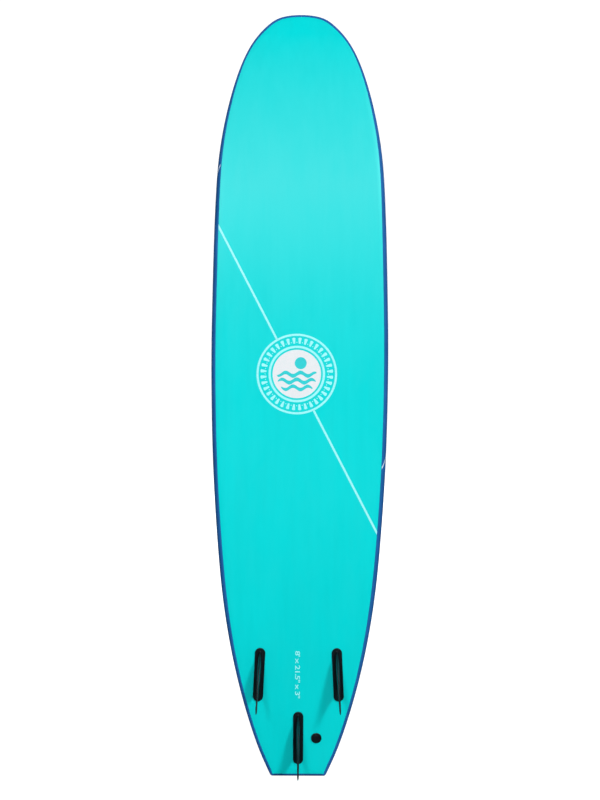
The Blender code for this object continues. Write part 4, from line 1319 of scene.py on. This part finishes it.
def studio_world():
    """A faint cool light all round, white to the camera."""
    world = bpy.data.worlds.new("studio")
    bpy.context.scene.world = world
    world.use_nodes = True
    tree = world.node_tree
    back = tree.nodes["Background"]
    back.inputs["Color"].default_value = (0.93, 0.97, 1.0, 1.0)
    back.inputs["Strength"].default_value = 0.06
    seen = tree.nodes.new("ShaderNodeBackground")
    seen.inputs["Color"].default_value = (1.0, 1.0, 1.0, 1.0)
    seen.inputs["Strength"].default_value = 1.1
    ray = tree.nodes.new("ShaderNodeLightPath").outputs
    mixed = mix_shader(tree, ray["Is Camera Ray"], back.outputs[0], seen.outputs[0])
    tree.links.new(mixed, tree.nodes["World Output"].inputs["Surface"])


studio_world()

# ---------------------------------------------------------------- lights
AIM = Vector((0, -0.05, 1.2))
WARM, COOL = (1.0, 0.995, 0.985), (0.99, 0.995, 1.0)


def area(name, at, size, power, colour=(1, 1, 1), aim=AIM, size_y=None):
    """Area light: a disk, or a rectangle where size_y is given."""
    light = bpy.data.lights.new(name, "AREA")
    light.shape = "DISK" if size_y is None else "RECTANGLE"
    light.size = size
    if size_y is not None:
        light.size_y = size_y
    light.energy = power
    light.color = colour
    ob = linked(name, light)
    ob.location = at
    ob.rotation_mode = "QUATERNION"
    ob.rotation_quaternion = (Vector(aim) - Vector(at)).to_track_quat("-Z", "Y")
    ob.visible_camera = False
    return ob


# over the bottom, placed by direction and distance from the aim
area("key_right", at=AIM + Vector((0.449, -0.737, 0.503)) * 14, size=2.2, power=1072.0,
     colour=(1.0, 0.998, 0.99))
area("key_left", at=AIM + Vector((-0.273, -0.871, 0.407)) * 14, size=2.2, power=507.0,
     colour=COOL)
area("sheen", at=AIM + Vector((0.0, -0.927, 0.375)) * 9, size=1.6, power=48.0)
fill = area("front_fill", at=(0.0, -5.0, 0.55), size=2.4, power=58.0, aim=(0, -0.05, 0.75),
            size_y=1.0)
fill.visible_glossy = False
# over the deck
area("deck_right", at=(4.4, 9.0, 4.6), size=2.4, power=640.0, colour=WARM)
area("deck_left", at=(-4.8, 8.8, 2.2), size=2.4, power=360.0, colour=COOL)

# ---------------------------------------------------------------- camera, facing the bottom
CAMERA_AWAY, CAMERA_ROLL = 2.6, -0.00446
lens = bpy.data.cameras.new("camera")
lens.sensor_width = 36.0
lens.lens = 38.024
camera = linked("camera", lens)
camera.location = (0.0012, BOTTOM_Y - CAMERA_AWAY, 1.1831)
camera.rotation_mode = "QUATERNION"
camera.rotation_quaternion = (Matrix.Rotation(CAMERA_ROLL, 3, "Y")
                              @ Matrix.Rotation(math.pi / 2, 3, "X")).to_quaternion()
scene = bpy.context.scene
scene.camera = camera
scene.view_settings.view_transform = "Standard"
scene.view_settings.look = "None"

bpy.context.view_layer.update()
